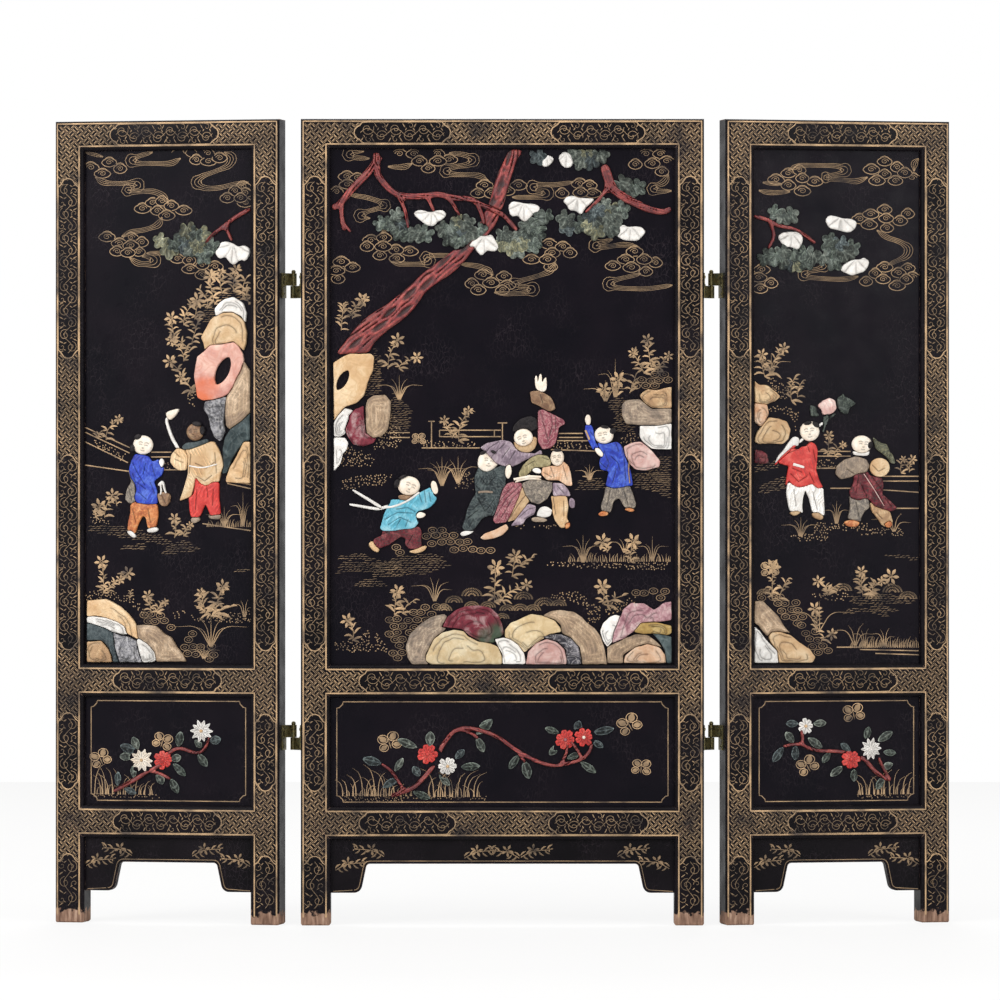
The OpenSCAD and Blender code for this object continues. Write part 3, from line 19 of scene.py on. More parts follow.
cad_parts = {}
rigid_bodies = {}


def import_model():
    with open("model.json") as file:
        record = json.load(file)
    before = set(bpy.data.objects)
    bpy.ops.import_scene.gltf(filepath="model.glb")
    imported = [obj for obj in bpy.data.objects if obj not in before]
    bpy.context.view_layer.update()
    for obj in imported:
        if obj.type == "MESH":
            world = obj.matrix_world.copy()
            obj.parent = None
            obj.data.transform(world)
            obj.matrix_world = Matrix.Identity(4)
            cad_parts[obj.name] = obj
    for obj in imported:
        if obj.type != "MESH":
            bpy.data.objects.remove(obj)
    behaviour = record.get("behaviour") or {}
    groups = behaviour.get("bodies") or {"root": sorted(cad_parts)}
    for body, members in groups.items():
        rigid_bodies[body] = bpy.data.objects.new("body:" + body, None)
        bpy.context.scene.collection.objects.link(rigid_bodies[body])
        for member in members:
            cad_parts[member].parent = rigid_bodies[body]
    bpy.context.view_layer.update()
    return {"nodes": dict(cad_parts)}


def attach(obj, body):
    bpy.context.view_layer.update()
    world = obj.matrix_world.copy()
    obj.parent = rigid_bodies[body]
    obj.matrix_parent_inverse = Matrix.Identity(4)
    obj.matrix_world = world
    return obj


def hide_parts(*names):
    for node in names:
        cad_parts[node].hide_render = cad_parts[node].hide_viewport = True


for left_over in list(bpy.data.objects):
    bpy.data.objects.remove(left_over)
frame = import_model()
nodes = frame["nodes"]

# %% [markdown]
# ## Tables
# The picture on this screen is made of many points. They are written down as rows
# of numbers, like the dimensions on a drawing: a comma ends a row and a semicolon ends a line
# of points.

# %% Tables of points
def word(text):
    """A word of a table, as a number if it is one."""
    if text[0] not in "-.0123456789":
        return text
    return float(text) if "." in text else int(text)


def table(text):
    """The rows of a table."""
    return [tuple(word(part) for part in row.split()) for row in text.split(",")]


def tables(text):
    """Several tables, such as the points of one line after the other."""
    return [table(part) for part in text.split(";")]


print("a table:", table("12 3.5 cream, 14 2.5 brown"))

# %% [markdown]
# ## Camera, floor and light
# The photograph was taken from far away at half the screen's height, so that the upper and
# lower edges of all three leaves stay level. A long lens eight metres away does the same.
# The light is plain: a big soft lamp over each shoulder and a dim white room. Lacquer mirrors
# its surroundings, so the room is white for mirrored rays but gives only a little light.

# %% Camera
PHOTO_PX = 1000
MM_PER_PX = 1.2469
CAMERA_DISTANCE_MM = 8000
VIEW_CENTRE_MM = (-3.0, 527.4)
scene = bpy.context.scene
camera = bpy.data.objects.new("camera", bpy.data.cameras.new("camera"))
scene.collection.objects.link(camera)
camera.data.sensor_width = 36
camera.data.lens = 36 * CAMERA_DISTANCE_MM / (PHOTO_PX * MM_PER_PX)
camera.location = (VIEW_CENTRE_MM[0] / 1000, -CAMERA_DISTANCE_MM / 1000, VIEW_CENTRE_MM[1] / 1000)
camera.rotation_euler = (math.radians(90), 0, 0)
scene.camera = camera
scene.view_settings.view_transform = "Standard"
print("lens:", round(camera.data.lens, 1), "mm")


# %% Colours and nodes
def paint(code):
    """An sRGB hex colour as the linear numbers that a shader works with."""
    parts = [int(code[i:i + 2], 16) / 255 for i in (1, 3, 5)]
    return [v / 12.92 if v <= 0.04045 else ((v + 0.055) / 1.055) ** 2.4 for v in parts] + [1.0]


def wire(tree, node, wires):
    """Gives inputs of a node a value, an output to link to, or a node, whose first output
    that is in use is meant."""
    for name, value in wires.items():
        if isinstance(value, bpy.types.Node):
            value = next(output for output in value.outputs if output.enabled)
        if isinstance(value, bpy.types.NodeSocket):
            tree.links.new(value, node.inputs[name])
        else:
            node.inputs[name].default_value = value


def add(tree, kind, wires=(), stops=(), **settings):
    """Adds one shader node with its settings, its wires and the stops of its colour ramp."""
    node = tree.nodes.new("ShaderNode" + kind)
    for name, value in settings.items():
        setattr(node, name, value)
    for position, colour in stops:
        node.color_ramp.elements.new(position).color = paint(colour)
    for spare in (0, -1) if stops else ():
        node.color_ramp.elements.remove(node.color_ramp.elements[spare])
    wire(tree, node, dict(wires))
    return node


def new_material(name):
    """A plain material with its node tree and its shader."""
    material = bpy.data.materials.new(name)
    material.use_nodes = True
    return material, material.node_tree, material.node_tree.nodes["Principled BSDF"]


print("white paper in the shader's numbers:", [round(v, 3) for v in paint("#F4F3F1")])

# %% Room, lamps and floor
ROOM_LIGHT = 0.48
world = bpy.data.worlds.new("white_room")
scene.world = world
world.use_nodes = True
room = world.node_tree
room.nodes.clear()
ray = add(room, "LightPath")
seen = add(room, "Math", {0: ray.outputs["Is Camera Ray"], 1: ray.outputs["Is Glossy Ray"]},
           operation="MAXIMUM")
seen = add(room, "Math", {0: seen, 1: ray.outputs["Is Transmission Ray"]}, operation="MAXIMUM")
dim = add(room, "Background", {"Color": paint("#FFFFFF"), "Strength": ROOM_LIGHT})
white = add(room, "Background", {"Color": paint("#FFFFFF"), "Strength": 1.0})
either = add(room, "MixShader", {0: seen, 1: dim, 2: white})
add(room, "OutputWorld", {"Surface": either})

LAMPS = {
    # name: (place in metres, size in metres, power in watts)
    "left_softbox": ((-2.6, -2.8, 2.2), (1.6, 2.2), 72),
    "right_softbox": ((2.4, -3.2, 1.8), (1.4, 2.0), 41),
    "top_softbox": ((0.0, -0.6, 3.2), (2.4, 1.2), 29),
    "back_softbox": ((0.0, 2.7, 3.7), (1.2, 1.0), 45),
}
for name, (place, size, power) in LAMPS.items():
    lamp = bpy.data.lights.new(name, "AREA")
    lamp.shape = "RECTANGLE"
    lamp.size, lamp.size_y = size
    lamp.energy = power
    holder = bpy.data.objects.new(name, lamp)
    scene.collection.objects.link(holder)
    holder.location = place
    aim = Vector((0, 0, 0.5)) - Vector(place)
    holder.rotation_euler = aim.to_track_quat("-Z", "Y").to_euler()

FLOOR_HALF = 4.0
floor_mesh = bpy.data.meshes.new("studio_floor")
floor_mesh.from_pydata([(FLOOR_HALF * x, FLOOR_HALF * y, 0) for x, y in ((-1, -1), (1, -1), (1, 1), (-1, 1))],
                       [], [(0, 1, 2, 3)])
floor = bpy.data.objects.new("studio_floor", floor_mesh)
scene.collection.objects.link(floor)
material, tree, shader = new_material("white_paper_floor")
wire(tree, shader, {"Base Color": paint("#F4F3F1"), "Roughness": 0.6})
ray = add(tree, "LightPath")
FLOOR_WHITE = 0.8
share = add(tree, "Math", {0: ray.outputs["Is Camera Ray"], 1: FLOOR_WHITE}, operation="MULTIPLY")
glow = add(tree, "Emission", {"Color": paint("#FFFFFF"), "Strength": 1.0})
both = add(tree, "MixShader", {0: share, 1: shader, 2: glow})
wire(tree, tree.nodes["Material Output"], {"Surface": both})
floor_mesh.materials.append(material)
print("lamps:", len(LAMPS))

# %% [markdown]
# ## Where each leaf stands
# The wings stand at an angle, so every ornament is worked out flat, in millimetres on its own
# leaf: u to the right of the leaf's middle, z above the floor and y from the back forwards.
# One matrix per leaf then puts it in its place. It is read from the main panel's face.

# %% Leaves
MM = 0.001
LEAF_H, LEAF_D = 1000.0, 35.0
STILE_W, TOP_H, RAIL_H = 37.0, 37.0, 41.0
RAILS = ((106.0, RAIL_H), (282.0, RAIL_H), (LEAF_H - TOP_H, TOP_H))
RECESS = 9.0
CROWN, OUTER_ARRIS, INNER_ARRIS = 1.2, 4.0, 5.0
PANEL_Y = RECESS - LEAF_D
WIDTH = {"left": 288.0, "centre": 500.0, "right": 288.0}
BODY = {"left": "left_wing", "centre": "centre_leaf", "right": "right_wing"}


def leaf_matrix(leaf):
    """The place of a leaf: x along it, y backwards, z up, origin under the middle of its back."""
    mesh = nodes[leaf + "_main_panel"].data
    faces = [p for p in mesh.polygons if p.normal.y < -0.5]
    corners = [mesh.vertices[i].co for p in faces for i in p.vertices]
    middle = sum(corners, Vector()) / len(corners)
    backwards = -faces[0].normal.normalized()
    up = Vector((0, 0, 1))
    right = backwards.cross(up)
    ends = [(c - middle).dot(right) for c in corners]
    middle += right * (max(ends) + min(ends)) / 2
    origin = middle - backwards * PANEL_Y * MM
    return Matrix.Translation((origin.x, origin.y, 0)) @ Matrix((right, backwards, up)).transposed().to_4x4()


LEAF = {leaf: leaf_matrix(leaf) for leaf in WIDTH}
for leaf, place in LEAF.items():
    print(leaf, "stands at", [round(v, 4) for v in place.translation])

# %% [markdown]
# ## Black lacquer, old and a little worn
# Lacquer is many thin brushed coats of tree sap over a cloth and clay ground. New, it is a
# dark mirror. After a century the black turns brownish, a net of fine cracks opens, and the
# arrises and feet wear through to the brown ground and the wood. The colour comes from slow
# noise, the cracks from cell borders, and the wear from where a rounded copy of an edge would
# leave the real one, broken up with noise.

# %% Lacquer
def millimetres(tree, stretch=(1, 1, 1)):
    """Positions on the leaf in millimetres, so that a pattern's scale is a real size."""
    place = add(tree, "TexCoord")
    scale = [1000 * s for s in stretch]
    return add(tree, "VectorMath", {0: place.outputs["Object"], 1: scale}, operation="MULTIPLY")


def lacquer(name, black, brown, crack_mm, crack_stretch, gloss, worn):
    """Aged black lacquer. worn says whether arrises and feet are rubbed down to the wood."""
    material, tree, shader = new_material(name)
    mm = millimetres(tree)
    cloud = add(tree, "TexNoise", {"Vector": mm, "Scale": 1 / 70, "Detail": 6})
    colour = add(tree, "ValToRGB", {0: cloud}, stops=[(0.35, black), (0.72, brown)])
    wobble = add(tree, "TexNoise", {"Vector": mm, "Scale": 1 / 9, "Detail": 2})
    bent = add(tree, "VectorMath", {0: wobble.outputs["Color"], 1: (5, 5, 5)}, operation="MULTIPLY")
    bent = add(tree, "VectorMath", {0: bent, 1: millimetres(tree, crack_stretch)}, operation="ADD")
    cells = add(tree, "TexVoronoi", {"Vector": bent, "Scale": 1 / crack_mm}, feature="DISTANCE_TO_EDGE")
    crack = add(tree, "MapRange", {0: cells, 1: 0.0, 2: 0.05, 3: 1.0, 4: 0.0})
    patch = add(tree, "TexNoise", {"Vector": mm, "Scale": 1 / 60, "Detail": 3})
    patch = add(tree, "MapRange", {0: patch, 1: 0.45, 2: 0.65})
    crack = add(tree, "Math", {0: crack, 1: patch}, operation="MULTIPLY")
    colour = add(tree, "Mix", {"Factor": crack, "A": colour, "B": paint("#2A2429")}, data_type="RGBA")
    rough = add(tree, "TexNoise", {"Vector": mm, "Scale": 1 / 25, "Detail": 5})
    rough = add(tree, "MapRange", {0: rough, 1: 0.3, 2: 0.7, 3: gloss - 0.07, 4: gloss + 0.12})
    if worn:
        rounded = add(tree, "Bevel", {"Radius": 1.6 * MM}, samples=4)
        flat = add(tree, "NewGeometry")
        turn = add(tree, "VectorMath", {0: rounded, 1: flat.outputs["Normal"]}, operation="DOT_PRODUCT")
        chips = add(tree, "TexNoise", {"Vector": mm, "Scale": 1 / 7, "Detail": 5})
        height = add(tree, "SeparateXYZ", {0: mm})
        foot = add(tree, "MapRange", {0: height.outputs["Z"], 1: 26.0, 2: 0.0})
        edge = add(tree, "MapRange", {0: turn, 1: 0.985, 2: 0.80})
        edge = add(tree, "Math", {0: edge, 1: 0.42}, operation="MULTIPLY")
        wear = add(tree, "Math", {0: edge, 1: foot}, operation="ADD")
        wear = add(tree, "Math", {0: wear, 1: chips}, operation="ADD")
        bare = add(tree, "MapRange", {0: wear, 1: 0.90, 2: 0.98})
        upright = millimetres(tree, (1, 1, 0.15))
        grain = add(tree, "TexNoise", {"Vector": upright, "Scale": 1 / 4, "Detail": 5})
        wood = add(tree, "ValToRGB", {0: grain},
                   stops=[(0.3, "#664D41"), (0.55, "#967866"), (0.75, "#BFA28E")])
        colour = add(tree, "Mix", {"Factor": bare, "A": colour, "B": wood}, data_type="RGBA")
        rough = add(tree, "Mix", {"Factor": bare, "A": rough, "B": 0.75}, data_type="FLOAT")
    fine = add(tree, "TexNoise", {"Vector": mm, "Scale": 1 / 14, "Detail": 6})
    relief = add(tree, "Math", {0: fine, 1: crack}, operation="SUBTRACT")
    bump = add(tree, "Bump", {"Height": relief, "Strength": 0.18, "Distance": 0.4 * MM})
    wire(tree, shader, {"Base Color": colour, "Roughness": rough, "Normal": bump, "Specular IOR Level": 0.06})
    return material


def patinated_brass():
    """Cast and filed brass that was never polished again: dull yellow with green-grey skin."""
    material, tree, shader = new_material("patinated_brass")
    mm = millimetres(tree)
    skin = add(tree, "TexNoise", {"Vector": mm, "Scale": 1 / 5, "Detail": 6})
    colour = add(tree, "ValToRGB", {0: skin}, stops=[(0.35, "#4E4B39"), (0.5, "#7A6F4A"), (0.7, "#5C6250")])
    rough = add(tree, "MapRange", {0: skin, 3: 0.32, 4: 0.62})
    pits = add(tree, "TexNoise", {"Vector": mm, "Scale": 1 / 0.8, "Detail": 3})
    bump = add(tree, "Bump", {"Height": pits, "Strength": 0.25, "Distance": 0.15 * MM})
    wire(tree, shader, {"Base Color": colour, "Roughness": rough, "Normal": bump, "Metallic": 0.9})
    return material


frame_lacquer = lacquer("frame_lacquer", "#0E0C0F", "#181418", 4.5, (1, 1, 0.5), 0.34, True)
FINISH = {
    "black_lacquer": frame_lacquer,
    "panel_lacquer": lacquer("panel_lacquer", "#0D0B12", "#151017", 4.5, (1, 1, 0.45), 0.30, False),
    "old_brass": patinated_brass(),
}
for name, solid in nodes.items():
    for index, old in enumerate(solid.data.materials):
        finish = FINISH.get(old.name.split(".")[0])
        if finish:
            solid.data.materials[index] = finish
print("finishes on the joinery:", ", ".join(sorted(m.name for m in FINISH.values())))

# %% [markdown]
# ## A workbench for relief
# Stones, leaves and gold lines are all flat shapes on a leaf that get some height. So one heap
# collects points and faces in millimetres on the leaf, and one call turns it into a mesh that
# stands in the leaf's place. Each point also carries a tone, which varies one stone or leaf
# from the next and also holds painted highlights and painted shade from the carving, and a dent
# from 0 to 1, which darkens the carved lines with painted shade, dirt and old pigment.

# %% The heap
class Heap:
    """Many small shapes on one leaf, in millimetres: points are (u, y, z)."""

    def __init__(self):
        self.points, self.faces, self.slots, self.tones, self.dents = [], [], [], [], []
        self.count = 0

    def put(self, points, faces, slot=0, tone=0.5, dent=0.0):
        """Adds a shape, with the number of its finish among the piece's finishes."""
        points = np.asarray(points, float)
        self.points.append(points)
        self.faces += [[i + self.count for i in face] for face in faces]
        self.slots += [slot] * len(faces)
        self.tones.append(np.broadcast_to(tone, len(points)))
        self.dents.append(np.broadcast_to(dent, len(points)))
        self.count += len(points)


def make_piece(name, leaf, heap, materials, replaces=None, sharp=50):
    """One mesh of a heap, in the leaf's place and riding on its body."""
    mesh = bpy.data.meshes.new(name)
    mesh.from_pydata((np.concatenate(heap.points) * MM).tolist(), [], heap.faces)
    for material in materials:
        mesh.materials.append(material)
    mesh.polygons.foreach_set("material_index", heap.slots)
    for label, values in (("tone", heap.tones), ("dent", heap.dents)):
        mesh.attributes.new(label, "FLOAT", "POINT").data.foreach_set(
            "value", np.concatenate(values).astype(np.float32))
    mesh.polygons.foreach_set("use_smooth", [True] * len(mesh.polygons))
    mesh.update()
    mesh.set_sharp_from_angle(angle=math.radians(sharp))
    thing = bpy.data.objects.new(name, mesh)
    scene.collection.objects.link(thing)
    thing.matrix_world = LEAF[leaf]
    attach(thing, BODY[leaf])
    if replaces:
        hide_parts(replaces)
    print(f"{name}: {len(mesh.polygons)} faces")


print("points in an empty heap:", Heap().count)


# %% Flat shapes
def heading(angle):
    """The direction of an angle."""
    return np.array([math.cos(angle), math.sin(angle)])


def leftwards(ways):
    """Directions of length one, a quarter turn to the left of some ways."""
    return np.stack([-ways[:, 1], ways[:, 0]], 1) / np.maximum(np.hypot(*ways.T), 1e-6)[:, None]


def closed_line(ring):
    """An outline as a line that ends where it starts."""
    return np.vstack([ring, ring[:1]])


def at_depth(flat, y):
    """Flat points (u, z) as points (u, y, z)."""
    return np.stack([flat[:, 0], np.broadcast_to(y, len(flat)), flat[:, 1]], 1)


def swell(depth, reach):
    """A rounded rise from 0 at the edge towards 1 inside."""
    return 1 - np.exp(-depth / reach)


def peak(x, width):
    """A soft peak of height 1 round nought."""
    return np.exp(-(x / width) ** 2)


def ripple(u, v, size, seed):
    """Smooth random values from -1 to 1 that change over size millimetres."""
    a, b = np.asarray(u) / size + 17.3 * seed, np.asarray(v) / size - 9.1 * seed
    i, j = np.floor(a), np.floor(b)
    f, g = a - i, b - j
    f, g = f * f * (3 - 2 * f), g * g * (3 - 2 * g)

    def corner(p, q):
        s = np.sin(p * 127.1 + q * 311.7 + seed * 74.7) * 43758.5453
        return 2 * (s - np.floor(s)) - 1
    return ((1 - f) * (1 - g) * corner(i, j) + f * (1 - g) * corner(i + 1, j)
            + (1 - f) * g * corner(i, j + 1) + f * g * corner(i + 1, j + 1))


def resample(line, step, closed=False):
    """Points at even steps along a line."""
    line = np.asarray(line, float)
    if closed:
        line = closed_line(line)
    length = np.concatenate([[0], np.cumsum(np.hypot(*np.diff(line, axis=0).T))])
    count = max(3 if closed else 1, int(round(length[-1] / step)))
    at = np.linspace(0, length[-1], count + 1)
    points = np.stack([np.interp(at, length, line[:, k]) for k in (0, 1)], 1)
    return points[:-1] if closed else points


def rounded(line, times, closed=True, limit=99.0):
    """Cuts the corners of a line, again and again, so that it becomes a soft curve. Each cut
    takes 22 hundredths of a side, but never more than limit millimetres."""
    line = np.asarray(line, float)
    for _ in range(times):
        following = np.roll(line, -1, axis=0) if closed else line[1:]
        here = line if closed else line[:-1]
        share = np.minimum(0.22, limit / np.maximum(np.hypot(*(following - here).T), 1e-6))[:, None]
        cut = np.stack([(1 - share) * here + share * following, share * here + (1 - share) * following], 1)
        cut = cut.reshape(-1, 2)
        line = cut if closed else np.vstack([line[:1], cut, line[-1:]])
    return line


def inside(points, ring, holes=()):
    """Which points lie inside an outline and outside its holes."""
    u, z = np.asarray(points, float).T
    found = np.zeros(len(u), bool)
    for (a, b), (c, d) in zip(ring, np.roll(ring, -1, axis=0)):
        if b != d:
            found ^= ((b > z) != (d > z)) & (u < (c - a) * (z - b) / (d - b) + a)
    for hole in holes:
        found &= ~inside(points, hole)
    return found


def distance(points, lines):
    """How far each point is from the nearest of some open lines, in millimetres."""
    points = np.asarray(points, float)
    best = np.full(len(points), 1e9)
    for line in lines:
        a, b = line[:-1], line[1:]
        along = b - a
        for part in range(0, len(points), 4000):
            p = points[part:part + 4000, None, :]
            t = np.clip(((p - a) * along).sum(2) / np.maximum((along ** 2).sum(1), 1e-9), 0, 1)
            gap = np.sqrt(((p - a - t[..., None] * along) ** 2).sum(2)).min(1)
            best[part:part + 4000] = np.minimum(best[part:part + 4000], gap)
    return best


def area(ring):
    """The area of an outline, positive where it runs anticlockwise."""
    u, z = np.asarray(ring).T
    return 0.5 * float(np.sum(u * np.roll(z, -1) - np.roll(u, -1) * z))


def outlines(node, leaf):
    """The stones of a solid node: [(outline, holes)] in mm on the leaf, and their thickness."""
    mesh = nodes[node].data
    to_leaf = np.array(LEAF[leaf].inverted())
    co = (np.array([v.co for v in mesh.vertices]) @ to_leaf[:3, :3].T + to_leaf[:3, 3]) * 1000
    front = co[:, 1].min()
    edges = {}
    for face in mesh.polygons:
        if co[list(face.vertices), 1].max() < front + 0.05:
            ring = [tuple(np.round(co[i, ::2], 2)) for i in face.vertices]
            for a, b in zip(ring, ring[1:] + ring[:1]):
                if (b, a) in edges:
                    del edges[(b, a)]
                else:
                    edges[(a, b)] = True
    ahead = {}
    for a, b in edges:
        ahead.setdefault(a, []).append(b)
    loops = []
    while ahead:
        first = here = next(iter(ahead))
        ring = []
        while here in ahead:
            ring.append(here)
            options = ahead[here]
            following = options.pop()
            if not options:
                del ahead[here]
            here = following
            if here == first:
                break
        loops.append(np.array(ring))
    whole = [ring for ring in loops if area(ring) > 4]
    holes = [ring for ring in loops if area(ring) < -4]
    return [(ring, [h for h in holes if inside(h[:1], ring)[0]]) for ring in whole], PANEL_Y - front


print("area of a square of 2 mm:", area([(0, 0), (2, 0), (2, 2), (0, 2)]))

# %% Carving one stone
# In millimetres: how deep a stone sits in the lacquer, its least height, and half the width of
# a carved line. The rounded edge gets rows of points at shares of its radius.
SEAT, LEAST, GROOVE = 0.3, 0.4, 0.55
EDGE_ROWS = (0.22, 0.6, 1.1)


def carve(heap, ring, holes, thick, slot, relief, grain, edge, tone=0.5, lines=(), cut=0.75, pale=0.0,
          soften=2, limit=99.0, crag=0.0):
    """A stone in relief. relief(u, z, depth_from_edge) gives (extra height, dent) and perhaps a
    third value of painted light, highlights and shade, that is added to the tone. The dent
    darkens the colour with painted shade and dirt. grain is the size of its faces and edge the
    radius of its rounded edge. Along lines the face is cut in, and then darkened through the dent,
    or raised where cut is negative, and pale lightens it there. crag is by how much the outline
    is nibbled, in millimetres."""
    rings = [resample(rounded(r, soften, True, limit), min(grain, 1.6), True) for r in [ring, *holes]]
    if crag:
        out = rings[0]
        side = leftwards(np.roll(out, -3, axis=0) - np.roll(out, 3, axis=0))
        out += side * (crag * (0.5 + 0.5 * ripple(out[:, 0], out[:, 1], 7, 31)) ** 2)[:, None]
    closed = [closed_line(r) for r in rings]
    points = list(rings)
    for r in rings:
        side = leftwards(np.roll(r, -1, axis=0) - np.roll(r, 1, axis=0))
        for step in EDGE_ROWS:
            inner = r + side * edge * step
            points.append(inner[distance(inner, closed) > edge * step * 0.85])
    low, high = rings[0].min(0), rings[0].max(0)
    rows = enumerate(np.arange(low[1], high[1], grain * 0.87))
    grid = np.array([(x + (k % 2) * grain / 2, z) for k, z in rows
                     for x in np.arange(low[0], high[0], grain)] or [low])
    grid += np.stack([ripple(grid[:, 0], grid[:, 1], 0.9, seed) for seed in (3, 4)], 1) * grain * 0.12
    grooves = [resample(rounded(g, 2, False), 0.8) for g in lines]
    for g in grooves:
        if len(g) > 2:
            side = leftwards(np.gradient(g, axis=0))
            points += [g, g + side * GROOVE, g - side * GROOVE]
    clear = distance(grid, closed) > edge * 1.1 + grain * 0.45
    if grooves:
        clear &= distance(grid, grooves) > grain * 0.6 + 0.3
    points = np.vstack(points + [grid[clear]])
    ok = inside(points, rings[0], rings[1:])
    ok[:sum(len(r) for r in rings)] = True
    edges, start = [], 0
    for r in rings:
        edges += [(start + k, start + (k + 1) % len(r)) for k in range(len(r))]
        start += len(r)

    def triangles(flat):
        found = delaunay_2d_cdt([Vector(p) for p in flat], edges, [], 0, 1e-5)
        flat, faces = np.array([tuple(p) for p in found[0]]), found[2]
        good = inside([flat[list(f)].mean(0) for f in faces], rings[0], rings[1:])
        return flat, [list(f) for f, g in zip(faces, good) if g]

    flat, top = triangles(points[ok])
    depth = distance(flat, closed)
    over = np.clip(edge - depth, 0, edge)
    height = thick - edge + np.sqrt(np.maximum(edge ** 2 - over ** 2, 0))
    extra, dent, *light = relief(flat[:, 0], flat[:, 1], depth)
    dent = np.broadcast_to(dent, len(flat)).copy()
    # The relief's third value is painted light, highlights and shade, added to the tone.
    tone = np.full(len(flat), float(tone)) + (light[0] if light else 0)
    if grooves:
        near = peak(distance(flat, grooves), GROOVE)
        extra = extra - cut * near
        tone += pale * near
        # Lines cut in are darkened through the dent: painted shade in the cut, with dirt, and on faces the drawn
        # features.
        if cut > 0:
            dent = np.maximum(dent, near)
    height = np.maximum(height + extra * np.clip(depth / (edge * 1.2), 0, 1), LEAST)
    face = at_depth(flat, PANEL_Y - height)
    heap.put(face, top, slot, tone, dent)
    sides = set()
    for a, b in ((a, b) for corners in top for a, b in zip(corners, corners[1:] + corners[:1])):
        sides.remove((b, a)) if (b, a) in sides else sides.add((a, b))
    rim = sorted({i for pair in sides for i in pair})
    place = {i: k for k, i in enumerate(rim)}
    walls = [(place[b], place[a], place[a] + len(rim), place[b] + len(rim)) for a, b in sides]
    # The walls and base take the darkest tone of the face, painted shade included.
    tone = float(tone.min())
    heap.put(np.vstack([face[rim], at_depth(flat[rim], PANEL_Y + SEAT)]), walls, slot, tone)
    base, under = triangles(np.vstack(rings))
    heap.put(at_depth(base, PANEL_Y + SEAT), [f[::-1] for f in under], slot, tone)


print("rows of points along a stone's edge:", 1 + len(EDGE_ROWS))

# %% [markdown]
# ## Nails of the hinges
# The brass plates sit on the leaves' side faces, where three round-headed nails hold each one.
# The front half of a plate is clear of the strap that carries the knuckle, so the nails go there.

# %% Hinge nails
NAIL_R, NAIL_H, NAIL_SIDES, NAIL_SEAT = 2.2, 1.1, 12, 0.05
PLATE_T, NAIL_Y = 1.5, -14.6
HINGE_Z, NAIL_LIFTS = (232.0, 794.0), (-10.5, 0.0, 10.5)


def nail(heap, u, z, side):
    """A round-headed nail, drawn as a closed dome that looks to one side."""
    n = NAIL_SIDES
    turns = [heading(math.tau * k / n) for k in range(n)]
    rings = [(NAIL_R * math.cos(t), NAIL_H * math.sin(t)) for t in (0, 0.4, 0.8, 1.2)]
    points = [(u + side * h, NAIL_Y + r * y, z + r * x) for r, h in rings for y, x in turns]
    points.append((u + side * NAIL_H, NAIL_Y, z))
    faces = [list(range(n))[::-1]] + [[3 * n + k, 3 * n + (k + 1) % n, 4 * n] for k in range(n)]
    for row in (0, n, 2 * n):
        faces += [[row + k, row + (k + 1) % n, row + n + (k + 1) % n, row + n + k] for k in range(n)]
    heap.put(points, faces if side > 0 else [f[::-1] for f in faces])


for leaf, sides in {"left": (1,), "centre": (-1, 1), "right": (-1,)}.items():
    heap = Heap()
    for side, foot, lift in ((a, b, c) for a in sides for b in HINGE_Z for c in NAIL_LIFTS):
        nail(heap, side * (WIDTH[leaf] / 2 + PLATE_T - NAIL_SEAT), foot + lift, side)
    make_piece(f"hinge_nails_{leaf}", leaf, heap, [FINISH["old_brass"]])
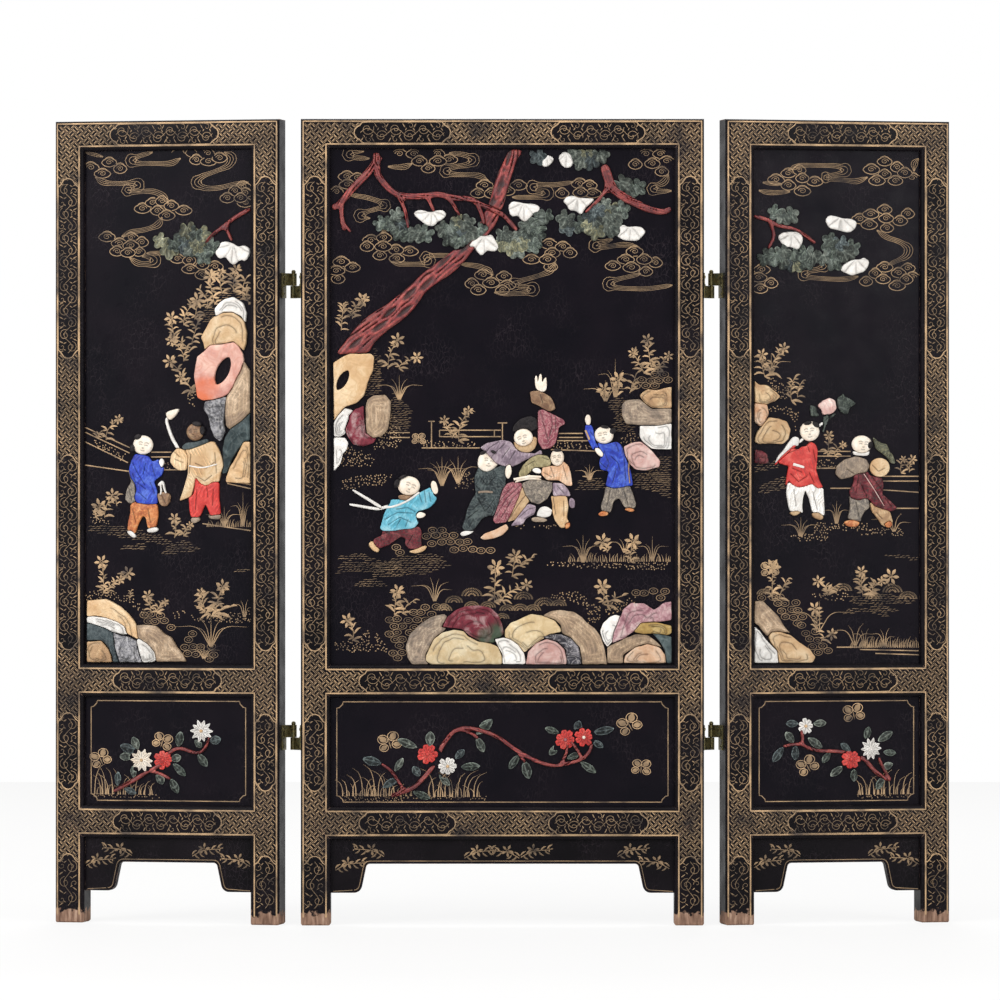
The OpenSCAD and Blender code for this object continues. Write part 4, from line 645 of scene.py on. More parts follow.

# %% [markdown]
# ## The stones
# Most of the stones are soapstones: soft enough for a knife, waxed after carving, and found in
# cream, yellow, brown, green, slate and peach, often clouded or banded. The blue and the
# turquoise are harder stones cut thin, and the bright red is dyed. Carving leaves them satin,
# so they get a soft gloss, clouds at the size of a fingertip, and bands a few millimetres wide
# that bend as the layers in the stone do. Painted shade and dirt darken the carved lines.

# %% Stone finishes
# Three shades, size of the clouds and width of the bands in mm, colour and strength of the bands
STONES = table("""
    yellow_soapstone #C49C70 #D6B286 #E3C8A2 34 7 #B98F5A .3,
    tan_soapstone #A27F5C #BA966E #CBAE86 22 6 #8E6B48 .35,
    pale_yellow_stone #CDB184 #DDC59B #E9D7B3 30 8 #C7A56C .25,
    ochre_stone #97763A #B08F4C #C7AC72 14 5 #7C5F30 .3,
    banded_brown_stone #7E6955 #9A8268 #B79F84 18 3.4 #6B5644 .4,
    grey_brown_stone #75675A #93806D #AF9C86 16 3.0 #574C44 .4,
    grey_marble #3A3A3E #66656A #A09EA1 8 5 #CFCCCA .35,
    white_soapstone #D8D4CE #E8E4DE #F2EFEA 26 8 #C9BDB4 .3,
    rose_soapstone #BC8F87 #CDA8A0 #DBC1B8 24 9 #BE8277 .3,
    peach_soapstone #C79670 #D6AF8E #E0C3A8 24 8 #C4865C .25,
    fire_soapstone #B98074 #CE9F90 #DDB9A8 34 9 #C07A66 .35,
    slate_green_stone #293234 #384345 #505B5C 20 7 #7E8785 .2,
    dark_slate_stone #2B3235 #3C4548 #555F61 22 6 #7C8383 .2,
    crimson_green_marble #5A2A33 #7E3540 #B08F8F 17 8 #7A2434 .45,
    dark_marble #242328 #3A383E #706D72 9 5 #B5B0B0 .45,
    mauve_marble #94606A #C5979C #DFC4C0 14 7 #74394A .35,
    coral_red_stone #65262A #8B3836 #AC544C 12 3.2 #5A1E20 .4,
    leaf_green_stone #222725 #383E3A #5C625D 9 4 #8D9888 .25,
    olive_stone #3D3F36 #56584A #777869 12 4 #B5AC80 .25,
    grey_green_stone #2C302E #424843 #6E736B 9 4 #92978B .25,
    turquoise #4FA0B6 #6BB6CB #98CEDB 15 6 #1E7F9C .3,
    blue_stone #132894 #1E3EB4 #4A68C8 12 6 #0E1F7A .35,
    red_dyed_stone #B42823 #CC3831 #D85B50 14 7 #A81814 .25,
    mauve_stone #7D6B78 #9A8793 #B8A8AF 12 5 #5C4A58 .4,
    crimson_stone #6B2A38 #86404C #A5636A 10 3.5 #D0A7A2 .4,
    khaki_stone #7C7250 #988C66 #B3A780 10 4 #5B5238 .35,
    speckled_grey_stone #5F5750 #857A6E #A79A88 4 3 #3F3935 .5,
    charcoal_stone #23282A #343B3D #4C5554 10 5 #7A8280 .3,
    orange_stone #A8592F #C97B44 #DDA069 9 4 #7A3B20 .4,
    ivory_soapstone #EBD9C4 #F3E6D4 #F8EFE2 20 9 #D9BFA3 .2,
    brown_soapstone #6E4E38 #8B6A4E #A58767 10 5 #4A3325 .35,
    dark_red_stone #4A1A22 #6B2B33 #8A4A4C 9 4 #33403C .6,
    black_hair_stone #141214 #201D1F #302B2C 8 2 #45403F .3""")
# Bands drawn out along an axis, and patches of another colour: (u, z, size in mm, colour)
STRETCH = {"banded_brown_stone": (1, 1, 0.3), "grey_brown_stone": (0.3, 1, 1), "crimson_stone": (1, 1, 0.5),
           "slate_green_stone": (1, 1, 0.6), "dark_slate_stone": (1, 1, 0.5)}
PATCHES = {"fire_soapstone": (42, 654, 30, "#CB6236"), "crimson_green_marble": (-12, 352, 24, "#38523F")}
# A stone is dark, and so less glossy, when its middle shade's red, green and blue add up to less
DARK_BELOW = 0.3


def waxed_stone(name, dark_shade, shade, light_shade, cloud_mm, band_mm, band_colour, band_strength):
    """Carved and waxed stone: clouds, bent bands, perhaps a patch, fine grain, and cuts darkened with painted
    shade and dirt.
    """
    material, tree, shader = new_material(name)
    mm = millimetres(tree)
    cloud = add(tree, "TexNoise", {"Vector": mm, "Scale": 1 / cloud_mm, "Detail": 6, "Roughness": 0.6,
                                   "Distortion": 0.8})
    colour = add(tree, "ValToRGB", {0: cloud},
                 stops=[(0.36, dark_shade), (0.5, shade), (0.64, light_shade)])
    bend = add(tree, "TexNoise", {"Vector": mm, "Scale": 1 / 30, "Detail": 2})
    bend = add(tree, "VectorMath", {0: bend.outputs["Color"], 1: (46, 46, 46)}, operation="MULTIPLY")
    bend = add(tree, "VectorMath", {0: bend, 1: millimetres(tree, STRETCH.get(name, (1, 1, 1)))},
               operation="ADD")
    bands = add(tree, "TexNoise", {"Vector": bend, "Scale": 1 / (2.2 * band_mm), "Detail": 1})
    bands = add(tree, "Math", {0: bands, 1: 38.0}, operation="MULTIPLY")
    bands = add(tree, "Math", {0: bands}, operation="SINE")
    bands = add(tree, "MapRange", {0: bands, 1: 0.1, 2: 1.0, 3: 0.0, 4: band_strength})
    colour = add(tree, "Mix", {"Factor": bands, "A": colour, "B": paint(band_colour)}, data_type="RGBA")
    if name in PATCHES:
        u, z, size, patch_colour = PATCHES[name]
        away = add(tree, "VectorMath", {0: bend, 1: (u + 23, PANEL_Y + 23, z + 23)}, operation="DISTANCE")
        share = add(tree, "MapRange", {0: away, 1: 0.5 * size, 2: size, 3: 0.9, 4: 0.0})
        colour = add(tree, "Mix", {"Factor": share, "A": colour, "B": paint(patch_colour)},
                     data_type="RGBA")
    # The tone varies each stone at random and carries the carving's painted highlights and painted shade.
    tone = add(tree, "Attribute", attribute_name="tone")
    tone = add(tree, "MapRange", {0: tone.outputs["Fac"], 3: 0.82, 4: 1.14}, clamp=False)
    colour = add(tree, "HueSaturation", {"Color": colour, "Value": tone})
    # The dent darkens cuts, slits and knots towards a near-black copy of the colour: painted shade, with dirt.
    dent = add(tree, "Attribute", attribute_name="dent")
    cut_shade_and_dirt = add(tree, "Math", {0: dent.outputs["Fac"], 1: 0.85}, operation="MULTIPLY")
    dark = add(tree, "HueSaturation", {"Color": colour, "Saturation": 1.1, "Value": 0.16})
    colour = add(tree, "Mix", {"Factor": cut_shade_and_dirt, "A": colour, "B": dark}, data_type="RGBA")
    grain = add(tree, "TexNoise", {"Vector": mm, "Scale": 1 / 1.1, "Detail": 4})
    rough = add(tree, "MapRange", {0: grain, 3: 0.36, 4: 0.56})
    bump = add(tree, "Bump", {"Height": grain, "Strength": 0.2, "Distance": 0.12 * MM})
    dark = sum(paint(shade)[:3]) < DARK_BELOW
    wire(tree, shader, {"Base Color": colour, "Roughness": rough, "Normal": bump, "IOR": 1.56,
                        "Specular IOR Level": 0.12 if dark else 0.4})
    return material


STONE = {row[0]: waxed_stone(*row) for row in STONES}
print("stones:", len(STONE))


def pairs(numbers):
    """Numbers as points (u, z)."""
    return np.reshape(numbers, (-1, 2))


def sort_stones(node, leaf, rows):
    """The outlines of a node, each with its stone: [(outline, holes, stone name)], and their
    thickness. rows names each stone and gives a point inside each outline that is cut from it."""
    found, thick = outlines(node, leaf)
    stones = []
    for ring, holes in found:
        names = [name for name, *spots in rows if inside(pairs(spots), ring).any()]
        stones.append((ring, holes, *(names[:1] or rows[0][:1])))
        if not names:
            print(f"  {node}: no stone named at", ring.mean(0).round(0))
    return stones, thick


def slots_of(names):
    """The finishes of one piece, and the place of each name among them."""
    used = sorted(set(names))
    return [STONE[n] for n in used], {n: k for k, n in enumerate(used)}


# %% [markdown]
# ## Rocks
# The carver gave each rock a rounded edge and a swelling face, then cut shallow steps across
# it that follow its outline, as water-worn limestone has. Here the height is a swelling plus
# steps that run with the distance from the edge, bent by slow noise; tall striped stones get
# upright flutes. The table names each rock's stone by a point inside its outline.

# %% Rock carving
FLUTED = ("banded_brown_stone", "grey_brown_stone")
VEINED = ("slate_green_stone", "dark_slate_stone", "dark_marble")
ROCKS = {
    "centre": table("""white_soapstone -198 622 -203 590 190 607 12 340 132 370, crimson_green_marble -180
        620 -35 378, banded_brown_stone -153 632 105 355 165 352, grey_brown_stone -98 358 180 632,
        yellow_soapstone -180 700, pale_yellow_stone -50 345 45 372, ochre_stone 185 369, tan_soapstone 190
        655, peach_soapstone 175 338, rose_soapstone 172 583 55 338, dark_marble 82 350, mauve_marble 175
        388, slate_green_stone 203 345"""),
    "left": table("""grey_marble 62 630 -52 345, banded_brown_stone 92 650 -5 345, slate_green_stone 85 600,
        yellow_soapstone 98 575 75 740 -75 390, white_soapstone 83 770 -80 374 -28 340, fire_soapstone 55
        690, dark_slate_stone -88 360, tan_soapstone -90 338"""),
    "right": table("""tan_soapstone -95 660, peach_soapstone -98 636, yellow_soapstone -80 612 -55 345,
        dark_red_stone -98 581, banded_brown_stone -85 378, white_soapstone -95 345"""),
}


def rock_relief(number, fluted):
    """The face of one rock: a swelling, folds that step up from the edge, or upright flutes."""
    lean = math.radians(-35 + 25 * (number % 4))

    def relief(u, z, depth):
        height = 0.9 * swell(depth, 7) + 0.5 * ripple(u, z, 17, number)
        if fluted:
            wave = (u + 3.0 * ripple(u, z, 14, number + 5) + 0.12 * z) / 4.2
        else:
            slope = u * math.sin(lean) + z * math.cos(lean)
            wave = 0.6 * depth - 0.55 * slope + 8 * ripple(u, z, 24, number + 7)
            wave = (wave + 3 * ripple(u, z, 9, number)) / 6.5
        phase = wave - np.floor(wave)
        broken = np.clip(0.6 + 1.7 * ripple(u, z, 19, number + 11), 0, 1)
        # Each cut is carved in and darkened through the dent with painted shade and dirt.
        cut = peak(phase - 0.5, 0.13 if fluted else 0.05)
        if fluted:
            return height - 0.3 * cut * broken, 0.4 * cut * broken, 0.0
        step = 0.8 * (phase if number % 2 else 1 - phase) * broken
        pale = 0.5 * peak(phase - 0.42, 0.07) * broken - 0.3 * np.clip(phase - 0.5, 0, 1) * broken
        return height + step - 0.3 * cut * broken, 0.12 * cut * broken, pale
    return relief


def inner_runs(fine, ring, step):
    """The outline moved in by step and a little waved, where it stays clear of the other side."""
    side = leftwards(np.roll(fine, -1, axis=0) - np.roll(fine, 1, axis=0))
    moved = fine + side * (step + 1.6 * ripple(fine[:, 0], fine[:, 1], 11, step))[:, None]
    good = inside(moved, ring) & (distance(moved, [closed_line(fine)]) > 0.72 * step)
    runs, run = [], []
    for point, ok in zip(moved, good):
        if ok and (not run or np.hypot(*(point - run[-1])) < 6) and chance.random() > 0.02:
            run.append(point)
        else:
            runs.append(run)
            run = [point] if ok else []
    return [np.array(r) for r in runs + [run] if len(r) > 4]


def ledge_lines(ring, name):
    """Parts of the outline drawn again further in, as the ledges of a water-worn rock. They
    are cut into pale stones, and stand up as pale veins on brown and dark ones."""
    fine = resample(rounded(ring, 2), 2.0, True)
    if name in FLUTED:
        return [run for step in (4, 8, 12.5, 17.5, 23, 29) for run in inner_runs(fine, ring, step)]
    shares = (0.8, 0.62) if name in VEINED else (0.86, 0.72, 0.56, 0.4)
    middle = fine.mean(0) - (0, 0.25 * np.ptp(fine[:, 1]))
    lines = []
    for number, share in enumerate(shares):
        start = int(len(fine) * chance.random())
        part = np.roll(fine, -start, axis=0)[:int(len(fine) * chance.uniform(0.3, 0.55))]
        line = middle + (part - middle) * share
        line += 1.4 * np.stack([ripple(line[:, 0], line[:, 1], 9, number),
                                ripple(line[:, 0], line[:, 1], 8, 5)], 1)
        line = line[inside(line, ring)]
        if len(line) > 4 and np.hypot(*np.diff(line, axis=0).T).max() < 6:
            lines.append(line)
    return lines


# Holes worn through two of the rocks: (u, z, half width, half height, lean in radians)
WORN_HOLES = {"left": [(71, 688, 8.5, 19, -0.45)], "centre": [(-198, 676, 6, 14, -0.5)], "right": []}


def worn_hole(u, z, half_w, half_h, lean):
    """The outline of a worn hole, which runs the other way round than a stone's."""
    a = np.linspace(0, -math.tau, 18, False)
    hole = np.stack([half_w * np.sin(a) * np.abs(np.sin(a)) ** 0.3, half_h * np.cos(a)], 1)
    hole = hole @ np.array([[math.cos(lean), math.sin(lean)], [-math.sin(lean), math.cos(lean)]]) + (u, z)
    return hole if area(hole) < 0 else hole[::-1]


chance = random.Random(11)
for leaf, rows in ROCKS.items():
    stones, thick = sort_stones(leaf + "_rocks", leaf, rows)
    materials, index = slots_of([name for ring, holes, name in stones])
    heap = Heap()
    for number, (ring, holes, name) in enumerate(stones):
        holes = holes + [worn_hole(*hole) for hole in WORN_HOLES[leaf] if inside([hole[:2]], ring)[0]]
        raised = name in FLUTED + VEINED
        carve(heap, ring, holes, thick, index[name], rock_relief(number, name in FLUTED), grain=1.9,
              edge=1.2, tone=chance.random(), limit=1.0, crag=0.8,
              lines=[] if holes else ledge_lines(ring, name),
              cut=-0.3 if raised else 0.55, pale=2.2 if raised else 0.0)
    make_piece(f"carved_{leaf}_rocks", leaf, heap, materials, f"{leaf}_rocks")

# %% [markdown]
# ## The tree
# The trunk and branches are coral-red stone, carved as old pine or plum bark: long ridges that
# run with the branch, open here and there into slits. The slits and knots are darkened with painted
# shade, the hollows between ridges get painted shade and the crests painted highlights. So each
# point needs to know where it is across and along the branch, which the branch's middle line tells.

# %% Bark
# The middle lines of each node's branches
BRANCH_LINES = {
    "centre_trunk": tables("""14 964, 8 935, -2 905, -18 880, -40 850, -62 825, -90 800, -115 775, -145 750,
        -178 728, -208 700"""),
    "centre_branches": tables("""-158 960, -160 940, -195 900, -200 880, -190 862; -158 945, -148 922, -125
        905, -80 907, -40 898, 0 885; -128 903, -120 885, -115 865; -95 904, -85 885; -68 902, -50 880; 122
        945, 132 915, 160 898, 210 885; 128 912, 98 882; -30 895, -22 870; 0 890, 2 865; 2 885, 14 868; -12
        890, -20 868"""),
    "left_branches": tables("""108 905, 85 890, 60 868; 75 882, 70 862"""),
    "right_branches": tables("""-108 895, -70 880, -35 862; -90 888, -88 866"""),
    "centre_spray_stem": tables("""-130 165, -105 180, -90 200, -60 235, -40 240, -10 225, 20 205, 60 200,
        85 210, 100 230; -150 195, -120 175"""),
    "left_spray_stem": tables("""-75 165, -40 185, 0 205, 30 215, 45 240"""),
    "right_spray_stem": tables("""75 165, 50 190, 10 205, -20 210, -45 240"""),
}
# Middles of the knots on the trunk
KNOTS = table("""-94 795, -115 783, -121 762, -152 743, -72 824, -10 900, 4 938, -182 722, -45 842, -140
    760, 8 955, -2 918""")
# Step along the middle lines, and half length and half width of a knot, in millimetres
BARK_STEP, KNOT_LONG, KNOT_WIDE = 1.5, 10.5, 3.0


def bark_relief(lines, ridge_mm, seed, knots):
    """Ridges along the nearest of some middle lines, with slits where they part, and knots. Slits and knots are
    darkened with painted shade, crests and knot lips get painted highlights and the hollows between ridges
    painted shade.
    """
    samples, ways = [], []
    for line in lines:
        fine = resample(rounded(line, 2, False), BARK_STEP)
        samples.append(fine)
        ways.append(np.gradient(fine, axis=0) / np.hypot(*np.gradient(fine, axis=0).T)[:, None])
    samples, ways = np.vstack(samples), np.vstack(ways)

    def relief(u, z, depth):
        points = np.stack([u, z], 1)
        nearest = np.array([np.argmin(((samples - p) ** 2).sum(1)) for p in points])
        gap = points - samples[nearest]
        across = gap[:, 0] * ways[nearest, 1] - gap[:, 1] * ways[nearest, 0]
        along = nearest * BARK_STEP
        wave = (across + 1.6 * ripple(along, across, 16, seed)) / ridge_mm
        wave = wave + 0.5 * ripple(along, across, 30, seed + 9)
        ridges = np.abs(np.sin(np.pi * wave))
        slit = peak(ridges, 0.34) * np.clip(0.2 + 2.6 * ripple(along, np.round(wave) * 9, 13, seed + 2), 0, 1)
        crest_highlight = np.clip((ridges - 0.8) * 5, 0, 1) * np.clip(2.5 * ripple(along, across, 12, seed + 4), 0, 1)
        height = 0.9 * swell(depth, 3) + 0.55 * ridges + 0.35 * ripple(u, z, 9, seed)
        for knot in knots:
            k = int(np.argmin(((samples - knot) ** 2).sum(1)))
            d = points - knot
            across = d[:, 0] * ways[k][1] - d[:, 1] * ways[k][0]
            shape = np.hypot((d @ ways[k]) / KNOT_LONG, across / KNOT_WIDE)
            lip = peak(shape - 1.5, 0.35)
            slit = np.maximum(slit * (1 - lip), np.exp(-shape ** 4))
            height += 0.7 * lip
            crest_highlight = np.maximum(crest_highlight, 0.7 * lip)
        # The dent darkens slits and knots with painted shade; the third value is painted highlight on ridge
        # crests and knot lips, and painted shade between the ridges.
        return height - 2.2 * slit, np.clip(1.8 * slit, 0, 1.15), 2.0 * crest_highlight - 1.2 * (ridges < 0.6)
    return relief


for node, lines in BRANCH_LINES.items():
    leaf = node.split("_")[0]
    thick_branch = node == "centre_trunk"
    heap = Heap()
    stones, thick = outlines(node, leaf)
    relief = bark_relief(lines, 5.2 if thick_branch else 3.2, 5, KNOTS if thick_branch else ())
    for ring, holes in stones:
        carve(heap, ring, holes, thick - 0.6, 0, relief, grain=1.3, edge=1.5 if thick_branch else 1.1,
              tone=0.1 + 0.3 * chance.random())
    make_piece(f"carved_{node}", leaf, heap, [STONE["coral_red_stone"]], node)

# %% [markdown]
# ## Leaves
# The leaf masses are many lobed leaves, each its own slip of green soapstone, laid like tiles.
# Here a seeded draw throws leaves into each mass, never too close together, and each gets five
# lobes round its stalk, a swelling face and raised pale veins.

# %% Leaf masses
def lobed_leaf(middle, turn, size):
    """The outline of a five-lobed leaf and its veins."""
    ring, veins = [], []
    stalk = middle - 0.55 * size * heading(turn)
    for step in range(60):
        angle = math.tau * step / 60
        lobe = abs(math.cos(2.5 * angle)) ** 0.9
        notch = 0.45 + 0.55 * min(1.0, abs(angle - math.pi) / 0.35)
        reach = size * (0.66 + 0.38 * lobe) * notch
        ring.append(middle + reach * heading(turn + angle))
    for fan in (-1.0, 0.0, 0.9):
        tip = middle + 0.7 * size * heading(turn + fan)
        veins.append([stalk, 0.5 * (stalk + tip), tip])
    return np.array(ring), veins


def lobed_relief(u, z, depth):
    """A swelling leaf with a painted highlight along its rim that fades here and there."""
    # Painted highlight along the rim, added to the tone.
    rim = peak(depth, 0.9) * np.clip(ripple(u, z, 7, 3) * 2, 0, 1)
    return 0.9 * swell(depth, 3) + 0.35 * ripple(u, z, 5, 1), 0.0, 5.5 * rim


LEAF_R, LEAF_GAP, LEAF_TRIES = 11.5, 9.0, 900
RIM_GAP, FRAME_GAP = 5.0, 0.6
GREENS = ["leaf_green_stone", "grey_green_stone", "leaf_green_stone", "charcoal_stone", "leaf_green_stone",
          "grey_green_stone", "olive_stone"]
for leaf, seed in (("left", 5), ("centre", 7), ("right", 9)):
    draw = random.Random(seed)
    heap = Heap()
    materials, index = slots_of(GREENS)
    masses, thick = outlines(leaf + "_foliage", leaf)
    for ring, holes in masses:
        low, high = ring.min(0), ring.max(0)
        spots = []
        for _ in range(LEAF_TRIES):
            spot = np.array([draw.uniform(low[0], high[0]), draw.uniform(low[1], high[1])])
            far_in = inside([spot], ring)[0] and distance([spot], [closed_line(ring)])[0] >= RIM_GAP
            if far_in and all(np.hypot(*(spot - s)) > LEAF_GAP for s in spots):
                spots.append(spot)
        for spot in spots:
            outline, veins = lobed_leaf(spot, draw.uniform(-2.6, -0.5), LEAF_R * draw.uniform(0.85, 1.12))
            limit = WIDTH[leaf] / 2 - STILE_W - FRAME_GAP
            outline[:, 0] = np.clip(outline[:, 0], -limit, limit)
            outline[:, 1] = np.minimum(outline[:, 1], LEAF_H - TOP_H - FRAME_GAP)
            lift = draw.uniform(0.0, 1.8)
            carve(heap, outline, [], 1.2 + lift, index[draw.choice(GREENS)], lobed_relief, grain=1.7,
                  edge=0.8, tone=draw.uniform(-1.7, 1.6), lines=veins, cut=-0.3, pale=3.2, soften=1)
    make_piece(f"carved_{leaf}_foliage", leaf, heap, materials, f"{leaf}_foliage")

# %% [markdown]
# ## White blossoms
# Each blossom hangs from its branch like a shell: petals fan out from the stalk, parted by
# shallow cuts. The cuts are drawn from the stalk's end to near the edge.

# %% Blossoms
def petal_fan(ring, seed):
    """The face of a blossom: petals that fan out from its stalk, each lapping over the next.
    They part where the outline has its notches, so its radius round the stalk is searched."""
    middle = ring.mean(0)
    stalk = np.array([0.8 * middle[0] + 0.2 * (ring[:, 0].min() + ring[:, 0].max()) / 2,
                      0.3 * middle[1] + 0.7 * ring[:, 1].max() + 1.0])
    rim = resample(rounded(ring, 1), 1.0, True) - stalk
    angles = np.mod(np.arctan2(rim[:, 1], rim[:, 0]) + math.pi / 2, math.tau) - math.pi
    bins = np.linspace(-math.pi, math.pi, 61)
    reach = np.array([np.hypot(*rim[(angles >= a) & (angles < b)].T).max(initial=0)
                      for a, b in zip(bins, bins[1:])])
    reach = np.convolve(np.concatenate([reach[-2:], reach, reach[:2]]), np.ones(3) / 3, mode="same")[2:-2]
    mid = (bins[1:] + bins[:-1]) / 2
    parts = [mid[k] for k in range(1, 59)
             if reach[k] > 5 and reach[k] <= reach[k - 1] and reach[k] < reach[k + 1]]
    parts = sorted([-math.pi, math.pi] + parts)
    full = [parts[0]]
    for part in parts[1:]:
        if part - full[-1] > 0.30:
            pieces = max(1, int(round((part - full[-1]) / 0.75)))
            full += [full[-1] + (part - full[-1]) * (k + 1) / pieces for k in range(pieces)]
    full = np.array(full)

    def relief(u, z, depth):
        du, dz = u - stalk[0], z - stalk[1]
        angle = np.mod(np.arctan2(dz, du) + math.pi / 2, math.tau) - math.pi
        far = np.hypot(du, dz)
        angle = angle + 0.08 * ripple(far, far * 0, 9, seed)
        k = np.clip(np.searchsorted(full, angle) - 1, 0, len(full) - 2)
        share = np.clip((angle - full[k]) / (full[k + 1] - full[k]), 0, 1)
        gap = np.minimum(share, 1 - share) * (full[k + 1] - full[k]) * far
        bulge = np.sqrt(np.clip(1 - (2 * share - 1) ** 2, 0, 1)) * np.clip(far / 14, 0, 1)
        lap = np.where(k % 2 == 0, 0.9, 0.2) * np.clip(far / 8, 0, 1)
        parting = peak(gap, 0.75) * np.clip((far - 2) / 4, 0, 1)
        cup = 0.8 * peak(depth - 3, 3)
        # Painted shade darkens the partings between petals and the heart by the stalk; the partings' dent darkens
        # them further.
        shade = -0.3 * peak(gap, 2.0) * np.clip(far / 8, 0, 1) - 0.3 * peak(far, 6)
        return 0.6 * bulge + lap + 0.5 * cup - 0.7 * parting, 0.45 * parting, shade
    return relief


for leaf in WIDTH:
    heap = Heap()
    stones, thick = outlines(leaf + "_blossoms", leaf)
    for number, (ring, holes) in enumerate(stones):
        carve(heap, ring, holes, thick - 1.6, 0, petal_fan(ring, number), grain=1.0, edge=1.1, tone=0.7,
              soften=1)
    make_piece(f"carved_{leaf}_blossoms", leaf, heap, [STONE["white_soapstone"]],
               f"{leaf}_blossoms")

# %% [markdown]
# ## Flower sprays of the lower panels
# A red stem carries grey-green leaves and open flowers. Every petal is a slip of its own, so
# the flowers are built petal by petal, from the outermost ring inwards.

# %% Sprays
def leaf_veins(ring):
    """The middle vein of a pointed leaf and two side veins."""
    gaps = ((ring[:, None] - ring[None]) ** 2).sum(2)
    foot, tip = (ring[k] for k in np.unravel_index(np.argmax(gaps), gaps.shape))
    length = np.hypot(*(tip - foot))
    way = (tip - foot) / length
    side = np.array([-way[1], way[0]])
    start = foot + way * length * 0.35
    return [[foot + way * 1.5, tip - way * 1.8]] + [
        [start, start + (way + side * hand) * length * 0.13] for hand in (-1, 1)]


# Middle, radius, petals in a ring, their stone, rings and the stone of the heart
FLOWERS = {
    "centre": table("""-93 212 13 7 red_dyed_stone 3 red_dyed_stone, -68 197 12 8 white_soapstone 2
        yellow_soapstone, 78 230 13 7 red_dyed_stone 3 crimson_stone, 101 233 12 7 red_dyed_stone 3
        ivory_soapstone"""),
    "left": table("""-6 204 12.5 7 red_dyed_stone 3 red_dyed_stone, -34 203 15 10 ivory_soapstone 2
        tan_soapstone, 43 240 14.5 10 white_soapstone 2 yellow_soapstone"""),
    "right": table("""-40 246 10 7 white_soapstone 1 yellow_soapstone, 18 204 12.5 7 red_dyed_stone 3
        red_dyed_stone, 44 217 14 10 white_soapstone 2 white_soapstone"""),
}


# The two kinds of petal: by how much their length varies, their width, and half of their outline
# from the root outwards in shares of length and width
BROAD = ((0.9, 1.08), 4.4, table("0 .1, .35 .34, .75 .5, .97 .28, .93 0"))
NARROW = ((0.92, 1.05), 3.5, table("0 .1, .3 .38, .6 .5, .85 .3, 1 .05"))


def petal(root, turn, length, width, half):
    """The outline of one petal from its root outwards."""
    way = heading(turn)
    side = np.array([-way[1], way[0]])
    shape = half + [(s, -w) for s, w in half[::-1] if w]
    return np.array([np.array(root) + way * length * s - side * width * w for s, w in shape])


for leaf, flowers in FLOWERS.items():
    draw = random.Random(21)
    heap = Heap()
    greens = ["leaf_green_stone", "charcoal_stone", "leaf_green_stone", "grey_green_stone"]
    materials, index = slots_of(greens)
    stones, thick = outlines(leaf + "_spray_leaves", leaf)
    for ring, holes in stones:
        # Each leaf gets a painted highlight along its edge, added to the tone, and raised pale veins.
        carve(heap, ring, holes, thick - 0.4, index[draw.choice(greens)],
              lambda u, z, depth: (0.9 * swell(depth, 3), 0.0, 8.0 * peak(depth, 0.7)), grain=1.2,
              edge=0.8, tone=draw.uniform(-2.1, -1.4), lines=leaf_veins(ring), cut=-0.25, pale=4.5)
    make_piece(f"carved_{leaf}_spray_leaves", leaf, heap, materials,
               f"{leaf}_spray_leaves")
    heap = Heap()
    materials, index = slots_of([f[4] for f in flowers] + [f[6] for f in flowers])
    for u, z, radius, count, stone, rings, heart in flowers:
        for ring in range(rings):
            reach = radius * (1 - 0.27 * ring)
            for k in range(count):
                turn = math.tau * (k + 0.5 * (ring % 2)) / count + draw.uniform(-0.08, 0.08)
                stretch, width, half = BROAD if count < 9 else NARROW
                outline = petal((u, z), turn, reach * draw.uniform(*stretch), width * reach / count, half)
                vein = [(u + reach * share * math.cos(turn), z + reach * share * math.sin(turn))
                        for share in (0.35, 0.8)]
                carve(heap, outline, [], 1.4 + 0.85 * ring + 0.3 * (k % 2), index[stone],
                      lambda u, z, depth: (0.5 * swell(depth, 1.5), 0.0), grain=1.3, edge=0.6,
                      tone=draw.uniform(0.1, 1.0), soften=1, lines=[vein], cut=0.3)
        button = [(u + 2.2 * math.cos(a), z + 2.2 * math.sin(a)) for a in np.linspace(0, math.tau, 12, False)]
        # The heart of each flower is darkened through the dent at its edge, as painted shade where it meets the
        # petals.
        carve(heap, button, [], 2.0 + 0.85 * rings, index[heart],
              lambda u, z, depth: (0.6 * swell(depth, 1), 0.5 * (depth < 0.5)), grain=0.9, edge=0.7)
    make_piece(f"carved_{leaf}_spray_flowers", leaf, heap, materials,
               f"{leaf}_spray_flowers")

# %% [markdown]
# ## Figures
# The children and the grown-up are put together like marquetry: a stone for each coat, sleeve,
# skirt, shoe and hand, each cut with the folds of its cloth. One table names each stone by a
# point inside it, and another gives the fold lines. The faces are plain and calm, drawn to the
# usual proportions: eyes on the middle line of the head, nose and mouth below.

